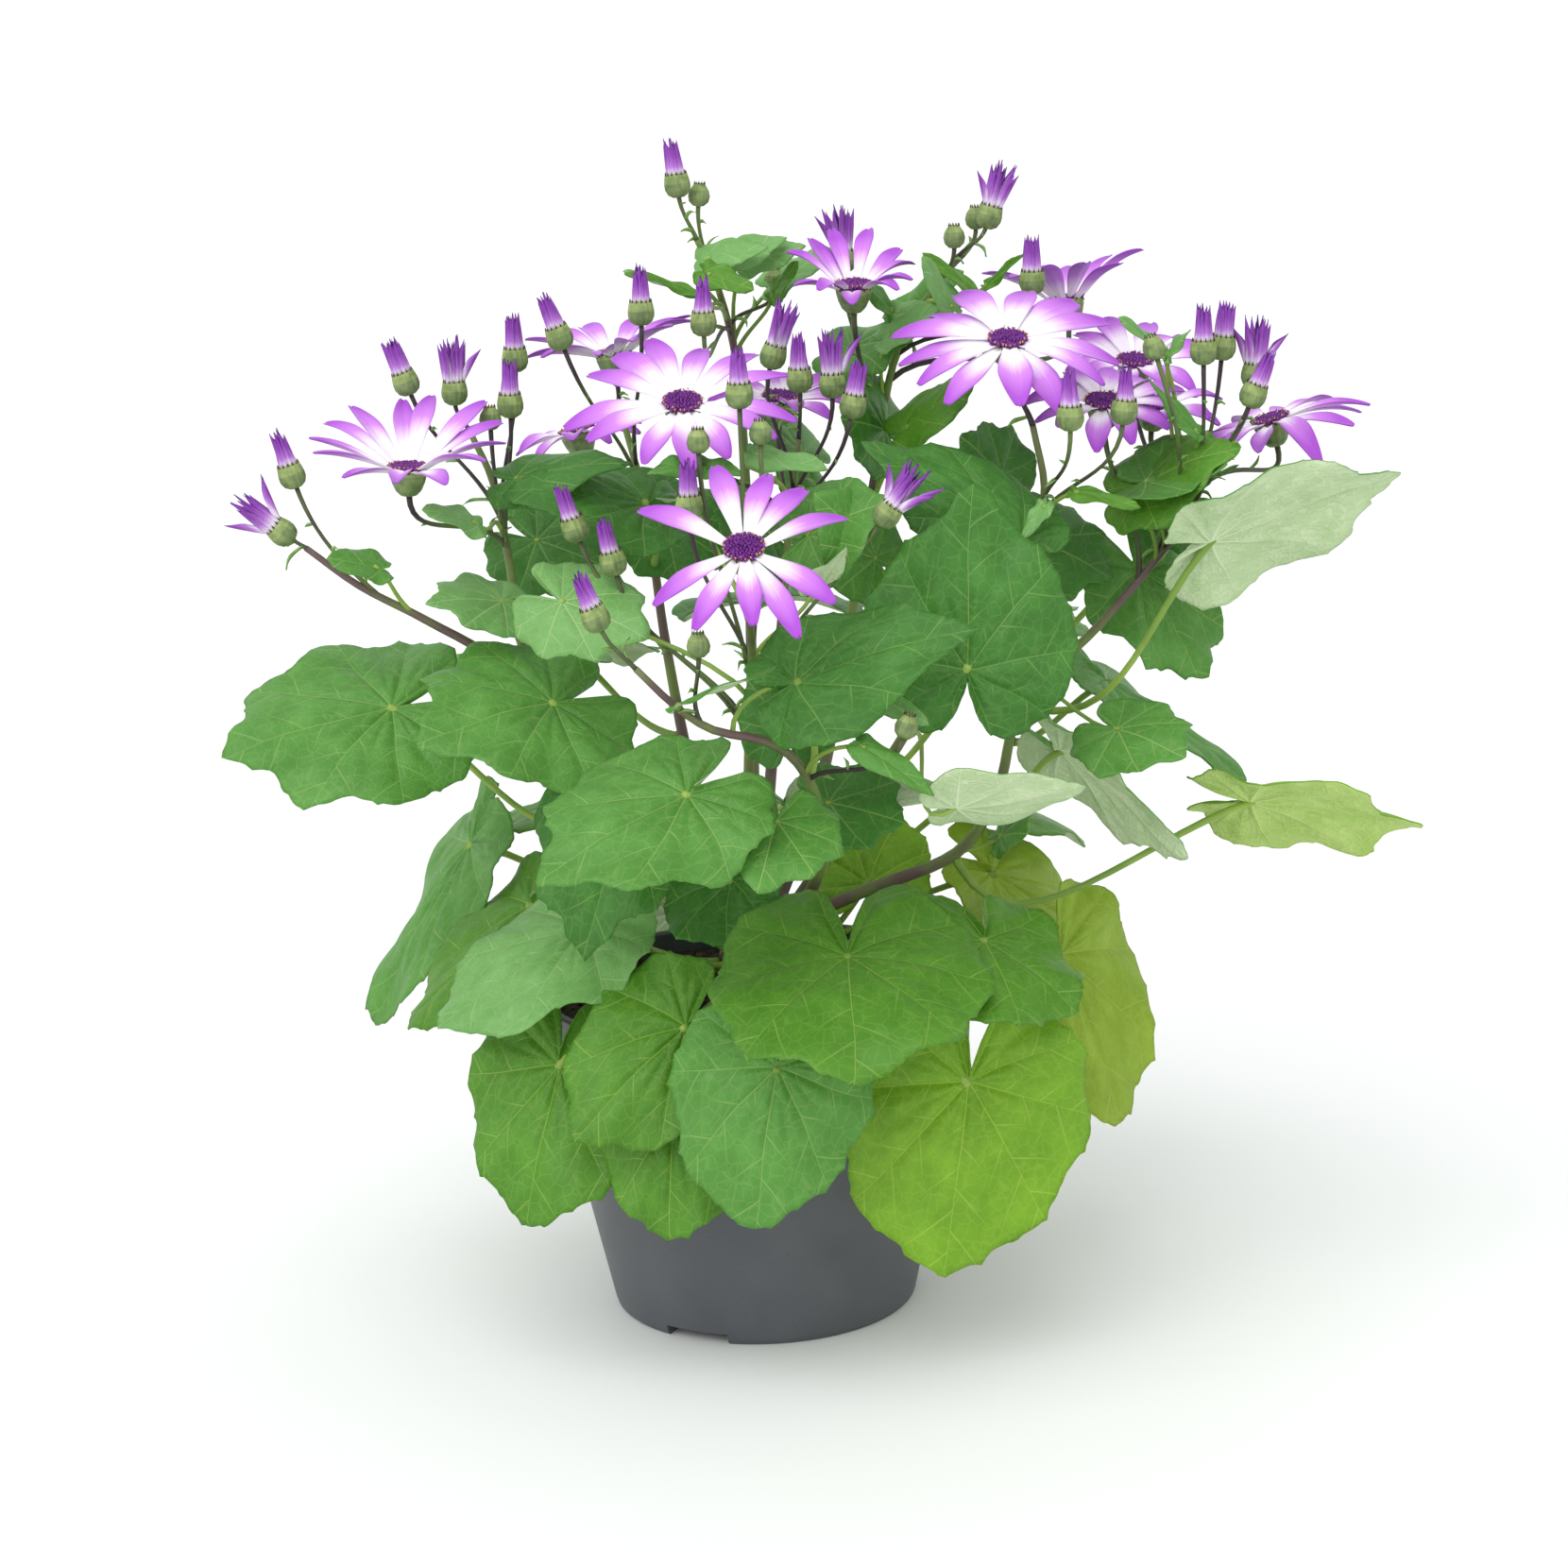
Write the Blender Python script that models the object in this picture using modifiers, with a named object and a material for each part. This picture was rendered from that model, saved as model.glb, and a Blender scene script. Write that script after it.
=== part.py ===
# Florist cineraria in its nursery pot. Metres, +Z up, origin at the centre of the pot's underside.
# The tables hold places in whole millimetres: x to the right, y away from the front, z up.

import bpy
import bmesh
from math import atan2, cos, pi, radians, sin
from mathutils import Matrix, Vector

MM = 0.001
PLANT = "florist_cineraria"
GAP = 0.35

# Pot, a 17 cm nursery size
POT_HEIGHT = 128
POT_RIM_RADIUS = 85
POT_BASE_RADIUS = 58
POT_WALL = 2
POT_RIM_WIDTH = 4
COLLAR_BOTTOM = 94
COLLAR_STEP = 3
BODY_TOP_RADIUS = 79
NOTCH_HEIGHT = 4.5
FLOOR_TOP = 6
NOTCH_WIDTH = 26
NOTCH_COUNT = 3
NOTCH_TURN = 3
CHANNEL_INNER_RADIUS = 40
HOLE_RADIUS = 4.5
HOLE_RING = 47

# Soil and the stub that everything grows from
SOIL_EDGE_HEIGHT = 119
SOIL_TOP_HEIGHT = 124
CROWN_RADIUS = 14
CROWN_BOTTOM = 108
CROWN_TOP = 141
STEM_RING = 9.5

# Growth
BLADE_THICKNESS = 0.8
PETIOLE_RADIUS = 1.6
STEM_RADIUS = 2.4
STEM_TOP_RADIUS = 1.3
STALK_RADIUS = 0.9
RAY_THICKNESS = 0.6
STALK_SPREAD = 1.2

# Sampling of tubes: the distance between rings, the turn of their profile, and how far a curve's handles reach
SAMPLE_STEP = 24
OVER_RIM_STEP = 26
TUBE_TILT = 0.3
HANDLE_REACH = 0.38

# A petiole: how far it runs straight out of its root, how far it ends inside the blade, and the joint height
# under which it has to climb over the rim, with its place there measured in from the rim
ROOT_RUN = 3
BLADE_GRIP = 1.1
RIM_CLEARANCE = 12
RIM_CROSSING_INSET = 5
PETIOLE_END_RADIUS = 1.1

# Half of the blade's outline: angle from the tip in degrees, and radius as a share of the tip's
OUTLINE = [(0, 1.0), (26, 0.87), (48, 0.85), (74, 0.77), (102, 0.73), (130, 0.65), (160, 0.52)]
SINUS = 0.12
NATURAL_WIDTH = 1.5

# Closed buds and half-open ones: radius and height, top to bottom, measured along the stalk
CLOSED_PROFILE = [(0, 25), (2.9, 21), (3.2, 9.4), (4.7, 6), (0, 0)]
HALF_OPEN_PROFILE = [(0, 24), (7.0, 25), (3.6, 9.4), (4.7, 6), (0, 0)]
GREEN_PROFILE = [(0, 9), (3.8, 4.5), (0, 0)]
BUD_PROFILES = {"closed": CLOSED_PROFILE, "half": HALF_OPEN_PROFILE, "green": GREEN_PROFILE}
BUD_SIDES = 5

# An open head: the cup under the disc, and the disc itself
HEAD_PROFILE = [(0, 2.6), (7.2, 1.0), (7.0, -1.4), (4.6, -6.4), (3.2, -9.0), (0, -9.0)]
HEAD_BOTTOM = 9.0
HEAD_SIDES = 10
RAY_ROOT = 8
RAY_SPREAD = 0.22

# Flowering stems: ring angle on the crown in degrees, route, and shoots.
# A shoot is its kind, where its bottom is, its direction and its share along the route.
STEMS = {
    "stem_far_left": {
        "angle": 196,
        "route": [(-38, -12, 186), (-66, -22, 226), (-90, -30, 262), (-116, -35, 281), (-140, -36, 295), (-159, -36, 310)],
        "shoots": [("half", (-163, -37, 313), (-7, -1, 6), 1.0), ("closed", (-161, -35, 332), (-3, 0, 10), 0.86)],
        "leaves": [("spray_leaf", 0.8, (-132, -48, 304), (-149, -55, 309), (0, -6, 8), 26, 2)],
    },
    "stem_left": {
        "angle": 160,
        "route": [(-40, 5, 192), (-64, 2, 230), (-83, -3, 262), (-87, 0, 295), (-92, 6, 325), (-100, 8, 345)],
        "shoots": [
            ("half", (-105, 8, 355), (0, 0, 10), 1.0),
            ("closed", (-121, 4, 360), (-3, 0, 9), 0.85),
            ("closed", (-84, 4, 350), (0, 0, 10), 0.8),
            ("green", (-91, -6, 347), (0, 0, 10), 0.78),
            ("closed", (-82, 14, 366), (0, 0, 10), 0.84),
        ],
        "leaves": [
            ("spray_leaf", 0.55, (-88, -32, 287), (-114, -50, 291), (0, -6, 8), 34, 3),
            ("spray_leaf", 0.82, (-96, -40, 318), (-114, -52, 325), (0, -5, 8), 22, 2),
        ],
    },
    "stem_back_left": {
        "angle": 122,
        "route": [(-20, 22, 196), (-30, 32, 255), (-36, 38, 310), (-44, 44, 345)],
        "shoots": [
            ("closed", (-62, -6, 376), (-3, 0, 9), 0.86),
            ("closed", (-33, -6, 384), (0, 0, 10), 0.9),
        ],
        "leaves": [],
    },
    "stem_front": {
        "angle": 254,
        "route": [(0, -38, 196), (2, -66, 240), (4, -82, 268), (4, -98, 286), (3, -112, 298)],
        "shoots": [
            ("closed", (-16, -92, 324), (0, 0, 10), 0.78),
            ("green", (-12, -88, 347), (0, 0, 10), 0.72),
            ("green", (10, -86, 349), (0, 0, 10), 0.72),
            ("closed", (3, -86, 362), (0, 0, 10), 0.7),
            ("closed", (-44, -62, 300), (-2, 0, 10), 0.62),
            ("closed", (-57, -56, 312), (-3, 0, 10), 0.6),
            ("half", (51, -74, 317), (6, -1, 8), 0.7),
        ],
        "leaves": [],
    },
    "stem_front_left": {
        "angle": 292,
        "route": [(18, -30, 164), (28, -58, 192), (26, -84, 218), (19, -104, 238), (8, -112, 248), (-10, -118, 254),
                  (-23, -122, 264), (-36, -124, 278)],
        "shoots": [
            ("closed", (-47, -126, 292), (-4, 0, 10), 1.0),
            ("green", (-14, -124, 281), (0, 0, 10), 0.86),
            ("green", (56, -125, 250), (3, 0, 10), 0.6),
        ],
        "leaves": [
            ("spray_leaf", 0.9, (-22, -130, 266), (14, -114, 275), (0, 4, 9), 16, 1),
            ("spray_leaf", 0.62, (42, -126, 248), (66, -138, 233), (2, -6, 8), 20, 2),
            ("front_leaf", 0.47, (11, -116, 220), (4, -144, 202), (0, -7, 7), 46, 4),
        ],
    },
    "stem_back": {
        "angle": 86,
        "route": [(2, 40, 200), (3, 62, 260), (3, 70, 320), (1, 64, 362), (-5, 46, 393), (-12, 34, 412)],
        "shoots": [
            ("closed", (-18, 30, 428), (-1, 0, 10), 1.0),
            ("green", (-11, 36, 424), (1, 0, 10), 0.95),
            ("closed", (-10, -4, 379), (0, 0, 10), 0.84),
            ("green", (17, 66, 388), (0, 0, 10), 0.85),
        ],
        "leaves": [
            ("spray_leaf", 0.88, (-13, 20, 392), (-39, 5, 403), (0, -2, 10), 14, 1),
            ("spray_leaf", 0.92, (0, 36, 404), (22, 44, 410), (0, -5, 8), 26, 2),
            ("spray_leaf", 0.82, (17, 62, 392), (40, 60, 404), (0, -5, 8), 30, 2),
        ],
    },
    "stem_back_right": {
        "angle": 48,
        "route": [(28, 28, 198), (42, 44, 258), (54, 52, 318), (62, 48, 360), (76, 42, 386), (88, 38, 402)],
        "shoots": [
            ("half", (98, 34, 412), (3, 0, 10), 1.0),
            ("green", (95, 44, 411), (0, 0, 10), 0.96),
            ("green", (86, 34, 405), (0, 0, 10), 0.94),
            ("closed", (115, 28, 387), (0, 0, 10), 0.84),
            ("half", (44, 66, 394), (0, 0, 10), 0.72),
        ],
        "leaves": [
            ("spray_leaf", 0.92, (84, 22, 384), (72, 12, 404), (0, -6, 7), 20, 2),
            ("spray_leaf", 0.74, (60, 40, 372), (84, 34, 386), (0, -5, 8), 26, 2),
        ],
    },
    "stem_middle": {
        "angle": 0,
        "route": [(8, 4, 200), (14, 4, 258), (20, 2, 310), (24, -6, 340)],
        "shoots": [
            ("closed", (25, -15, 358), (0, 0, 10), 1.0),
            ("half", (14, -4, 366), (3, 0, 10), 0.9),
            ("half", (37, -18, 356), (0, 0, 10), 0.86),
            ("closed", (43, -32, 350), (2, 0, 10), 0.8),
        ],
        "leaves": [],
    },
    "stem_right_middle": {
        "angle": 328,
        "route": [(24, -12, 172), (44, -22, 204), (66, -30, 240), (92, -28, 282), (110, -26, 306), (114, -28, 322),
                  (110, -30, 345)],
        "shoots": [
            ("closed", (121, -64, 347), (0, 0, 10), 0.86),
            ("closed", (141, -52, 347), (1, 0, 10), 0.84),
        ],
        "leaves": [("side_leaf", 0.6, (137, -58, 236), (160, -80, 230), (1, -7, 7), 40, 3)],
    },
    "stem_right": {
        "angle": 12,
        "route": [(44, 8, 160), (80, 8, 174), (96, 0, 200), (106, -6, 236), (135, -12, 266), (163, -14, 299), (176, -26, 326)],
        "shoots": [
            ("closed", (173, -30, 365), (0, 0, 10), 0.94),
            ("closed", (181, -18, 365), (1, 0, 10), 0.92),
            ("half", (193, -16, 354), (1, 0, 10), 0.96),
            ("closed", (189, -32, 349), (4, 0, 10), 1.0),
            ("green", (154, -50, 370), (-3, 0, 10), 0.86),
        ],
        "leaves": [
            ("spray_leaf", 0.86, (152, -22, 322), (180, -40, 330), (-1, -5, 8), 34, -4),
        ],
    },
}

# Open heads: the stem and the share along it, the middle of the disc, the way it faces, ray length,
# number of rays, and how far the ray tips rise above the disc
HEADS = {
    "flower_front": ("stem_front", 1.0, (3, -128, 319), (0, -50, 87), 40, 10, 0),
    "flower_centre": ("stem_middle", 0.82, (-18, -44, 359), (0, -42, 91), 42, 13, -1),
    "flower_left": ("stem_left", 0.8, (-120, -33, 337), (3, -6, 100), 34, 13, 4),
    "flower_right": ("stem_right_middle", 1.0, (102, -20, 375), (0, -36, 94), 42, 13, -4),
    "flower_back_left": ("stem_back_left", 1.0, (-46, 44, 368), (-1, 1, 10), 34, 12, 6),
    "flower_left_middle": ("stem_back_left", 0.8, (-63, 76, 334), (-2, 0, 10), 27, 11, -1),
    "flower_centre_back": ("stem_middle", 0.8, (18, 32, 350), (1, -2, 10), 29, 12, 2),
    "flower_back": ("stem_back_right", 0.7, (47, 29, 392), (1, -15, 99), 26, 11, 3),
    "flower_back_right": ("stem_back_right", 0.8, (131, 68, 380), (-1, 2, 10), 32, 12, 12),
    "flower_right_back": ("stem_right", 0.85, (156, 50, 357), (0, -25, 97), 31, 12, 1),
    "flower_right_low": ("stem_right", 0.8, (138, -14, 350), (-1, -30, 95), 30, 12, 0),
    "flower_right_middle": ("stem_right", 0.9, (160, 20, 344), (1, -2, 10), 28, 11, 2),
    "flower_far_right": ("stem_right", 0.97, (204, 16, 337), (-25, -5, 95), 36, 12, -3),
}

# Leaves on long petioles: what carries them (the crown, with ring angle and height, or a stem, with the share
# along it), how far the petiole arches up, joint of blade and petiole, tip, upper face, width and cupping
LEAVES = {
    "basal_leaf_front": (("crown", -66, 136), 10, (35, -95, 164), (35, -150, 134), (0, -6, 8), 96, 8),
    "basal_leaf_front_right": (("crown", -38, 137), 6, (86, -70, 161), (95, -112, 138), (3, -5, 8), 72, 6),
    "basal_leaf_right_low": (("crown", -46, 130), 8, (78, -88, 112), (67, -102, 46), (1, -9, 3), 90, 6),
    "basal_leaf_front_low": (("crown", -80, 130), 4, (8, -112, 128), (-3, -124, 72), (0, -9, 3), 68, 5),
    "basal_leaf_front_left": (("crown", -104, 136), 8, (-25, -88, 137), (-66, -105, 101), (-1, -9, 4), 60, 4),
    "basal_leaf_left_under": (("crown", -112, 130), 13, (-31, -93, 104), (-34, -104, 60), (0, -9, 3), 50, 3),
    "basal_leaf_left_low": (("crown", -134, 130), 7, (-73, -72, 119), (-86, -92, 64), (-3, -8, 4), 68, 5),
    "basal_leaf_left_light": (("crown", -142, 137), 6, (-63, -55, 167), (-114, -75, 137), (-3, -5, 8), 75, 6),
    "basal_leaf_left_dark": (("crown", -165, 137), 4, (-85, -15, 166), (-132, -30, 121), (-6, -4, 7), 60, 5),
    "basal_leaf_far_left": (("crown", 172, 131), 8, (-111, 32, 179), (-154, 34, 107), (-8, -3, 5), 62, 5),
    "basal_leaf_inner": (("crown", -90, 137), 4, (-7, -52, 183), (-27, -68, 163), (0, -6, 8), 38, 3),
    "basal_leaf_right_dull": (("crown", 2, 131), 12, (120, 4, 133), (141, -8, 66), (4, -8, 4), 68, 6),
    "basal_leaf_right_high": (("crown", 26, 137), 4, (96, 45, 156), (141, 56, 120), (5, -5, 7), 56, 4),
    "basal_leaf_inner_back": (("crown", 34, 131), 4, (46, 28, 158), (58, 48, 182), (0, -8, 5), 44, 3),
    "basal_leaf_back_right": (("crown", 52, 137), 10, (84, 84, 178), (128, 130, 150), (3, 3, 9), 86, 8),
    "basal_leaf_back": (("crown", 76, 131), 12, (14, 112, 172), (18, 168, 142), (0, 4, 9), 90, 8),
    "basal_leaf_back_left": (("crown", 130, 137), 10, (-72, 80, 184), (-112, 132, 160), (-3, 3, 9), 86, 8),
    "basal_leaf_back_low": (("crown", 104, 131), 8, (-34, 104, 128), (-46, 122, 72), (-2, 9, 4), 76, 6),
    "stem_leaf_far_left": (("stem_far_left", 0.32), 6, (-131, -35, 249), (-193, -55, 235), (-2, -6, 7), 82, 7),
    "stem_leaf_left": (("stem_far_left", 0.24), 6, (-69, -60, 254), (-114, -92, 249), (-1, -7, 7), 74, 6),
    "stem_leaf_left_hanging": (("stem_front", 0.3), 12, (-46, -66, 218), (-60, -92, 168), (-1, -8, 5), 60, 5),
    "stem_leaf_front_left": (("stem_front_left", 0.35), 4, (-20, -120, 232), (-71, -152, 212), (-1, -6, 8), 70, 6),
    "stem_leaf_centre": (("stem_front_left", 0.6), 2, (19, -112, 269), (80, -119, 288), (1, -7, 7), 54, 5),
    "stem_leaf_big": (("stem_right_middle", 0.4), 0, (81, -88, 266), (86, -72, 330), (0, -9, 3), 78, 5),
    "stem_leaf_right_edge": (("stem_right", 0.5), 4, (140, 12, 240), (194, 22, 196), (6, -1, 8), 56, 5),
    "stem_leaf_right_pale": (("stem_right", 0.44), 2, (119, -26, 222), (162, -34, 180), (6, 5, 6), 50, 4),
    "stem_leaf_far_right": (("stem_right", 0.3), 6, (193, -5, 194), (254, -20, 185), (1, 6, 8), 66, 5),
    "stem_leaf_right_top": (("stem_right", 0.56), 4, (175, -30, 300), (250, -12, 318), (-2, 7, 6), 68, 5),
    "stem_leaf_right_dark": (("stem_right", 0.58), 4, (153, 16, 282), (176, -2, 240), (3, -7, 6), 54, 4),
    "stem_leaf_shade": (("stem_right_middle", 0.56), 4, (104, -58, 308), (46, -52, 344), (-1, -6, 8), 50, 4),
    "stem_leaf_under_flower": (("stem_back_left", 0.72), 4, (-33, -15, 319), (-85, -30, 328), (0, -5, 9), 54, 4),
    "stem_leaf_back_left": (("stem_back_left", 0.4), 6, (-68, 72, 246), (-122, 112, 236), (-3, 3, 9), 76, 7),
    "stem_leaf_back": (("stem_back", 0.45), 6, (12, 92, 262), (10, 150, 254), (0, 3, 9), 78, 7),
    "stem_leaf_back_right": (("stem_back_right", 0.42), 6, (88, 88, 250), (136, 130, 244), (3, 3, 9), 78, 7),
}


def vec(place):
    """A place in millimetres as a vector in metres."""
    return Vector(place) * MM


def material(name, colour, roughness, metallic=0.0):
    made = bpy.data.materials.new(name)
    made.use_nodes = True
    shader = made.node_tree.nodes["Principled BSDF"]
    shader.inputs["Base Color"].default_value = (*colour, 1.0)
    shader.inputs["Roughness"].default_value = roughness
    shader.inputs["Metallic"].default_value = metallic
    made.diffuse_color = (*colour, 1.0)
    return made


def add_object(name, mesh, collection, finish=None):
    made = bpy.data.objects.new(name, mesh)
    collection.objects.link(made)
    if finish:
        mesh.materials.clear()
        mesh.materials.append(finish)
    return made


def helper(made):
    made.hide_render = True
    made.display_type = "WIRE"
    return made


def mesh_of(name, bm):
    bmesh.ops.recalc_face_normals(bm, faces=bm.faces[:])
    mesh = bpy.data.meshes.new(name)
    bm.to_mesh(mesh)
    bm.free()
    return mesh


def smooth(made, angle=40):
    made.data.shade_smooth()
    made.data.set_sharp_from_angle(angle=radians(angle))
    return made


def solidify(made, thickness):
    shell = made.modifiers.new("thickness", "SOLIDIFY")
    shell.thickness = thickness * MM
    shell.offset = 0
    return shell


def boolean(made, operation, operand):
    joined = made.modifiers.new(operation.lower(), "BOOLEAN")
    joined.operation = operation
    joined.solver = "EXACT"
    if isinstance(operand, bpy.types.Collection):
        joined.operand_type = "COLLECTION"
        joined.collection = operand
    else:
        joined.object = operand
    return joined


def turned(name, profile, collection, sides, finish=None):
    """A solid of revolution about Z: profile of (radius, height) in mm, top to bottom."""
    mesh = bpy.data.meshes.new(name)
    places = [(radius * MM, 0, height * MM) for radius, height in profile]
    mesh.from_pydata(places, [(i, i + 1) for i in range(len(places) - 1)], [])
    made = add_object(name, mesh, collection, finish)
    screw = made.modifiers.new("turn", "SCREW")
    screw.steps = sides
    screw.render_steps = sides
    screw.use_merge_vertices = True
    screw.merge_threshold = 0.00005
    return made


def smooth_path(points, step=SAMPLE_STEP):
    """Points about every step mm on a Catmull-Rom curve through the given ones."""
    ends = [points[0] * 2 - points[1], *points, points[-1] * 2 - points[-2]]
    path = []
    for before, start, stop, after in zip(ends, ends[1:], ends[2:], ends[3:]):
        count = max(1, round((stop - start).length / (step * MM)))
        for i in range(count):
            t = i / count
            path.append(0.5 * (2 * start + (stop - before) * t
                               + (2 * before - 5 * start + 4 * stop - after) * t * t
                               + (3 * start - before - 3 * stop + after) * t ** 3))
    return [*path, points[-1]]


def bow(start, start_way, end, end_way, count=4):
    """Points on a cubic curve that leaves and arrives along the given directions."""
    span = (end - start).length * HANDLE_REACH
    first = start + start_way.normalized() * span
    second = end - end_way.normalized() * span
    path = []
    for i in range(count + 1):
        t = i / count
        path.append(start * (1 - t) ** 3 + first * 3 * t * (1 - t) ** 2 + second * 3 * t * t * (1 - t) + end * t ** 3)
    return path


def tube(name, path, radius, end_radius, collection, finish=None, sides=1):
    """A tapered round tube of radius to end_radius in mm, made a mesh with its caps welded."""
    curve = bpy.data.curves.new(name, "CURVE")
    curve.dimensions = "3D"
    curve.bevel_depth = MM
    curve.bevel_resolution = sides
    curve.use_fill_caps = True
    spline = curve.splines.new("POLY")
    spline.points.add(len(path) - 1)
    for i, (point, place) in enumerate(zip(spline.points, path)):
        point.co = (*place, 1)
        point.radius = radius + (end_radius - radius) * i / (len(path) - 1)
        point.tilt = TUBE_TILT
    guide = bpy.data.objects.new(name + "_guide", curve)
    collection.objects.link(guide)
    graph = bpy.context.evaluated_depsgraph_get()
    mesh = bpy.data.meshes.new_from_object(guide.evaluated_get(graph))
    bpy.data.objects.remove(guide)
    bm = bmesh.new()
    bm.from_mesh(mesh)
    bmesh.ops.remove_doubles(bm, verts=bm.verts[:], dist=0.00002)
    bpy.data.meshes.remove(mesh)
    return add_object(name, mesh_of(name, bm), collection, finish)


def point_along(path, share):
    """The place, direction and length share on a path."""
    lengths = [(b - a).length for a, b in zip(path, path[1:])]
    left = share * sum(lengths)
    for a, b, length in zip(path, path[1:], lengths):
        if left <= length:
            return a + (b - a) * (left / length), (b - a).normalized()
        left -= length
    return path[-1], (path[-1] - path[-2]).normalized()


def upright(axis):
    """The rotation that turns +Z to the axis."""
    return Vector((0, 0, 1)).rotation_difference(axis).to_matrix().to_4x4()


def blade_frame(joint, tip, facing):
    along = (tip - joint).normalized()
    up = (facing - along * facing.dot(along)).normalized()
    return along, up.cross(along), up


def blade(name, joint, tip, facing, width, cup, collection, finish=None, rings=1):
    """A lobed round blade: an outlined fan about its joint, cupped across and bowed along."""
    half = [(radians(angle), share) for angle, share in OUTLINE]
    rim = half + [(pi, SINUS)] + [(-angle, share) for angle, share in reversed(half[1:])]
    length = (tip - joint).length
    wide = width * MM / NATURAL_WIDTH
    along, side, up = blade_frame(joint, tip, facing)
    bm = bmesh.new()
    bmesh.ops.create_circle(bm, segments=len(rim), radius=1, cap_ends=True, cap_tris=True)
    centre = min(bm.verts, key=lambda v: v.co.length)
    spokes = [edge for edge in bm.edges if centre in edge.verts]
    if rings:
        bmesh.ops.subdivide_edges(bm, edges=spokes, cuts=rings)
    for vert in bm.verts:
        share = vert.co.length
        step = atan2(-vert.co.x, vert.co.y) / (2 * pi) * len(rim) if share > 0.01 else 0
        angle, reach = rim[round(step) % len(rim)]
        reach *= share
        u = cos(angle) * reach * (length if cos(angle) > 0 else wide)
        v = sin(angle) * reach * wide
        drop = cup * MM * ((v / (wide * 0.75)) ** 2 - 0.35 * sin(pi * max(0, u / length)))
        vert.co = joint + along * u + side * v - up * drop
    made = add_object(name, mesh_of(name, bm), collection, finish)
    solidify(made, BLADE_THICKNESS)
    return made


def petiole(name, start, start_way, joint, along, up, arch, collection):
    """The leaf's stalk, from its root to the joint at the bottom of the blade's notch."""
    leave = start_way.normalized() + Vector((0, 0, arch * MM / (joint - start).length / HANDLE_REACH))
    arrive = along * 0.45 + (joint - start).normalized() * 0.8 + up * 0.35
    flat = start + start_way.normalized() * ROOT_RUN * MM
    end = joint + up * BLADE_GRIP * MM
    if joint.z < (POT_HEIGHT + RIM_CLEARANCE) * MM:
        over = Vector((joint.x, joint.y, 0)).normalized() * (POT_RIM_RADIUS - RIM_CROSSING_INSET) * MM
        over.z = (POT_HEIGHT + arch) * MM
        path = [start, *smooth_path([flat, over, end], step=OVER_RIM_STEP)]
    else:
        path = [start, *bow(flat, leave, end, arrive)]
    return tube(name, path, PETIOLE_RADIUS, PETIOLE_END_RADIUS, collection)


def pot(collection, cutters, finish):
    """A turned shell with a collar, drain channels across the underside and drain holes in them."""
    inner = POT_RIM_RADIUS - POT_RIM_WIDTH
    profile = [
        (0, FLOOR_TOP), (POT_BASE_RADIUS - POT_WALL, FLOOR_TOP), (BODY_TOP_RADIUS - POT_WALL, COLLAR_BOTTOM - 2),
        (inner, COLLAR_BOTTOM + 2), (inner, POT_HEIGHT), (POT_RIM_RADIUS, POT_HEIGHT),
        (BODY_TOP_RADIUS + COLLAR_STEP, COLLAR_BOTTOM), (BODY_TOP_RADIUS, COLLAR_BOTTOM - 1.5),
        (POT_BASE_RADIUS + 1.5, 2), (POT_BASE_RADIUS, 0), (0, 0),
    ]
    body = turned("nursery_pot", profile, collection, 48, finish)
    for i in range(NOTCH_COUNT):
        angle = radians(NOTCH_TURN + i * 360 / NOTCH_COUNT)
        turn = Matrix.Rotation(angle, 4, "Z")
        reach = POT_BASE_RADIUS + 8 - CHANNEL_INNER_RADIUS
        bm = bmesh.new()
        bmesh.ops.create_cube(bm, size=1)
        bmesh.ops.scale(bm, vec=(reach * MM, NOTCH_WIDTH * MM, 2 * NOTCH_HEIGHT * MM), verts=bm.verts[:])
        bmesh.ops.translate(bm, vec=((CHANNEL_INNER_RADIUS + reach / 2) * MM, 0, 0), verts=bm.verts[:])
        notch = helper(add_object(f"notch_{i}", mesh_of("notch", bm), cutters))
        notch.matrix_world = turn
        boolean(body, "DIFFERENCE", notch)
        bm = bmesh.new()
        bmesh.ops.create_cone(bm, segments=8, radius1=HOLE_RADIUS * MM, radius2=HOLE_RADIUS * MM, depth=24 * MM,
                              cap_ends=True)
        bmesh.ops.translate(bm, vec=(HOLE_RING * MM, 0, 0), verts=bm.verts[:])
        hole = helper(add_object(f"drain_{i}", mesh_of("drain", bm), cutters))
        hole.matrix_world = turn
        boolean(body, "DIFFERENCE", hole)
    return smooth(body)


def soil(collection, finish):
    """Peat that fills the pot, slightly heaped, with a well for the crown."""
    well = CROWN_RADIUS + GAP + 0.2
    inner = POT_RIM_RADIUS - POT_RIM_WIDTH - GAP
    below = BODY_TOP_RADIUS - POT_WALL - GAP
    bottom = POT_BASE_RADIUS - POT_WALL - GAP
    profile = [
        (0, CROWN_BOTTOM - GAP), (well, CROWN_BOTTOM - GAP), (well, SOIL_TOP_HEIGHT),
        (45, SOIL_TOP_HEIGHT - 1), (inner - 4, SOIL_EDGE_HEIGHT + 1), (inner, SOIL_EDGE_HEIGHT - 1),
        (inner - 0.5, COLLAR_BOTTOM + 2.5), (below - 0.4, COLLAR_BOTTOM - 2.5), (bottom - 0.4, FLOOR_TOP + GAP),
        (0, FLOOR_TOP + GAP),
    ]
    return smooth(turned("potting_soil", profile, collection, 24, finish))


def crown(collection, finish):
    """The stub in the middle of the pot, with a flat top."""
    profile = [(0, CROWN_TOP), (CROWN_RADIUS, CROWN_TOP), (CROWN_RADIUS, CROWN_BOTTOM), (0, CROWN_BOTTOM)]
    return smooth(turned("root_crown", profile, collection, 24, finish))


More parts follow.
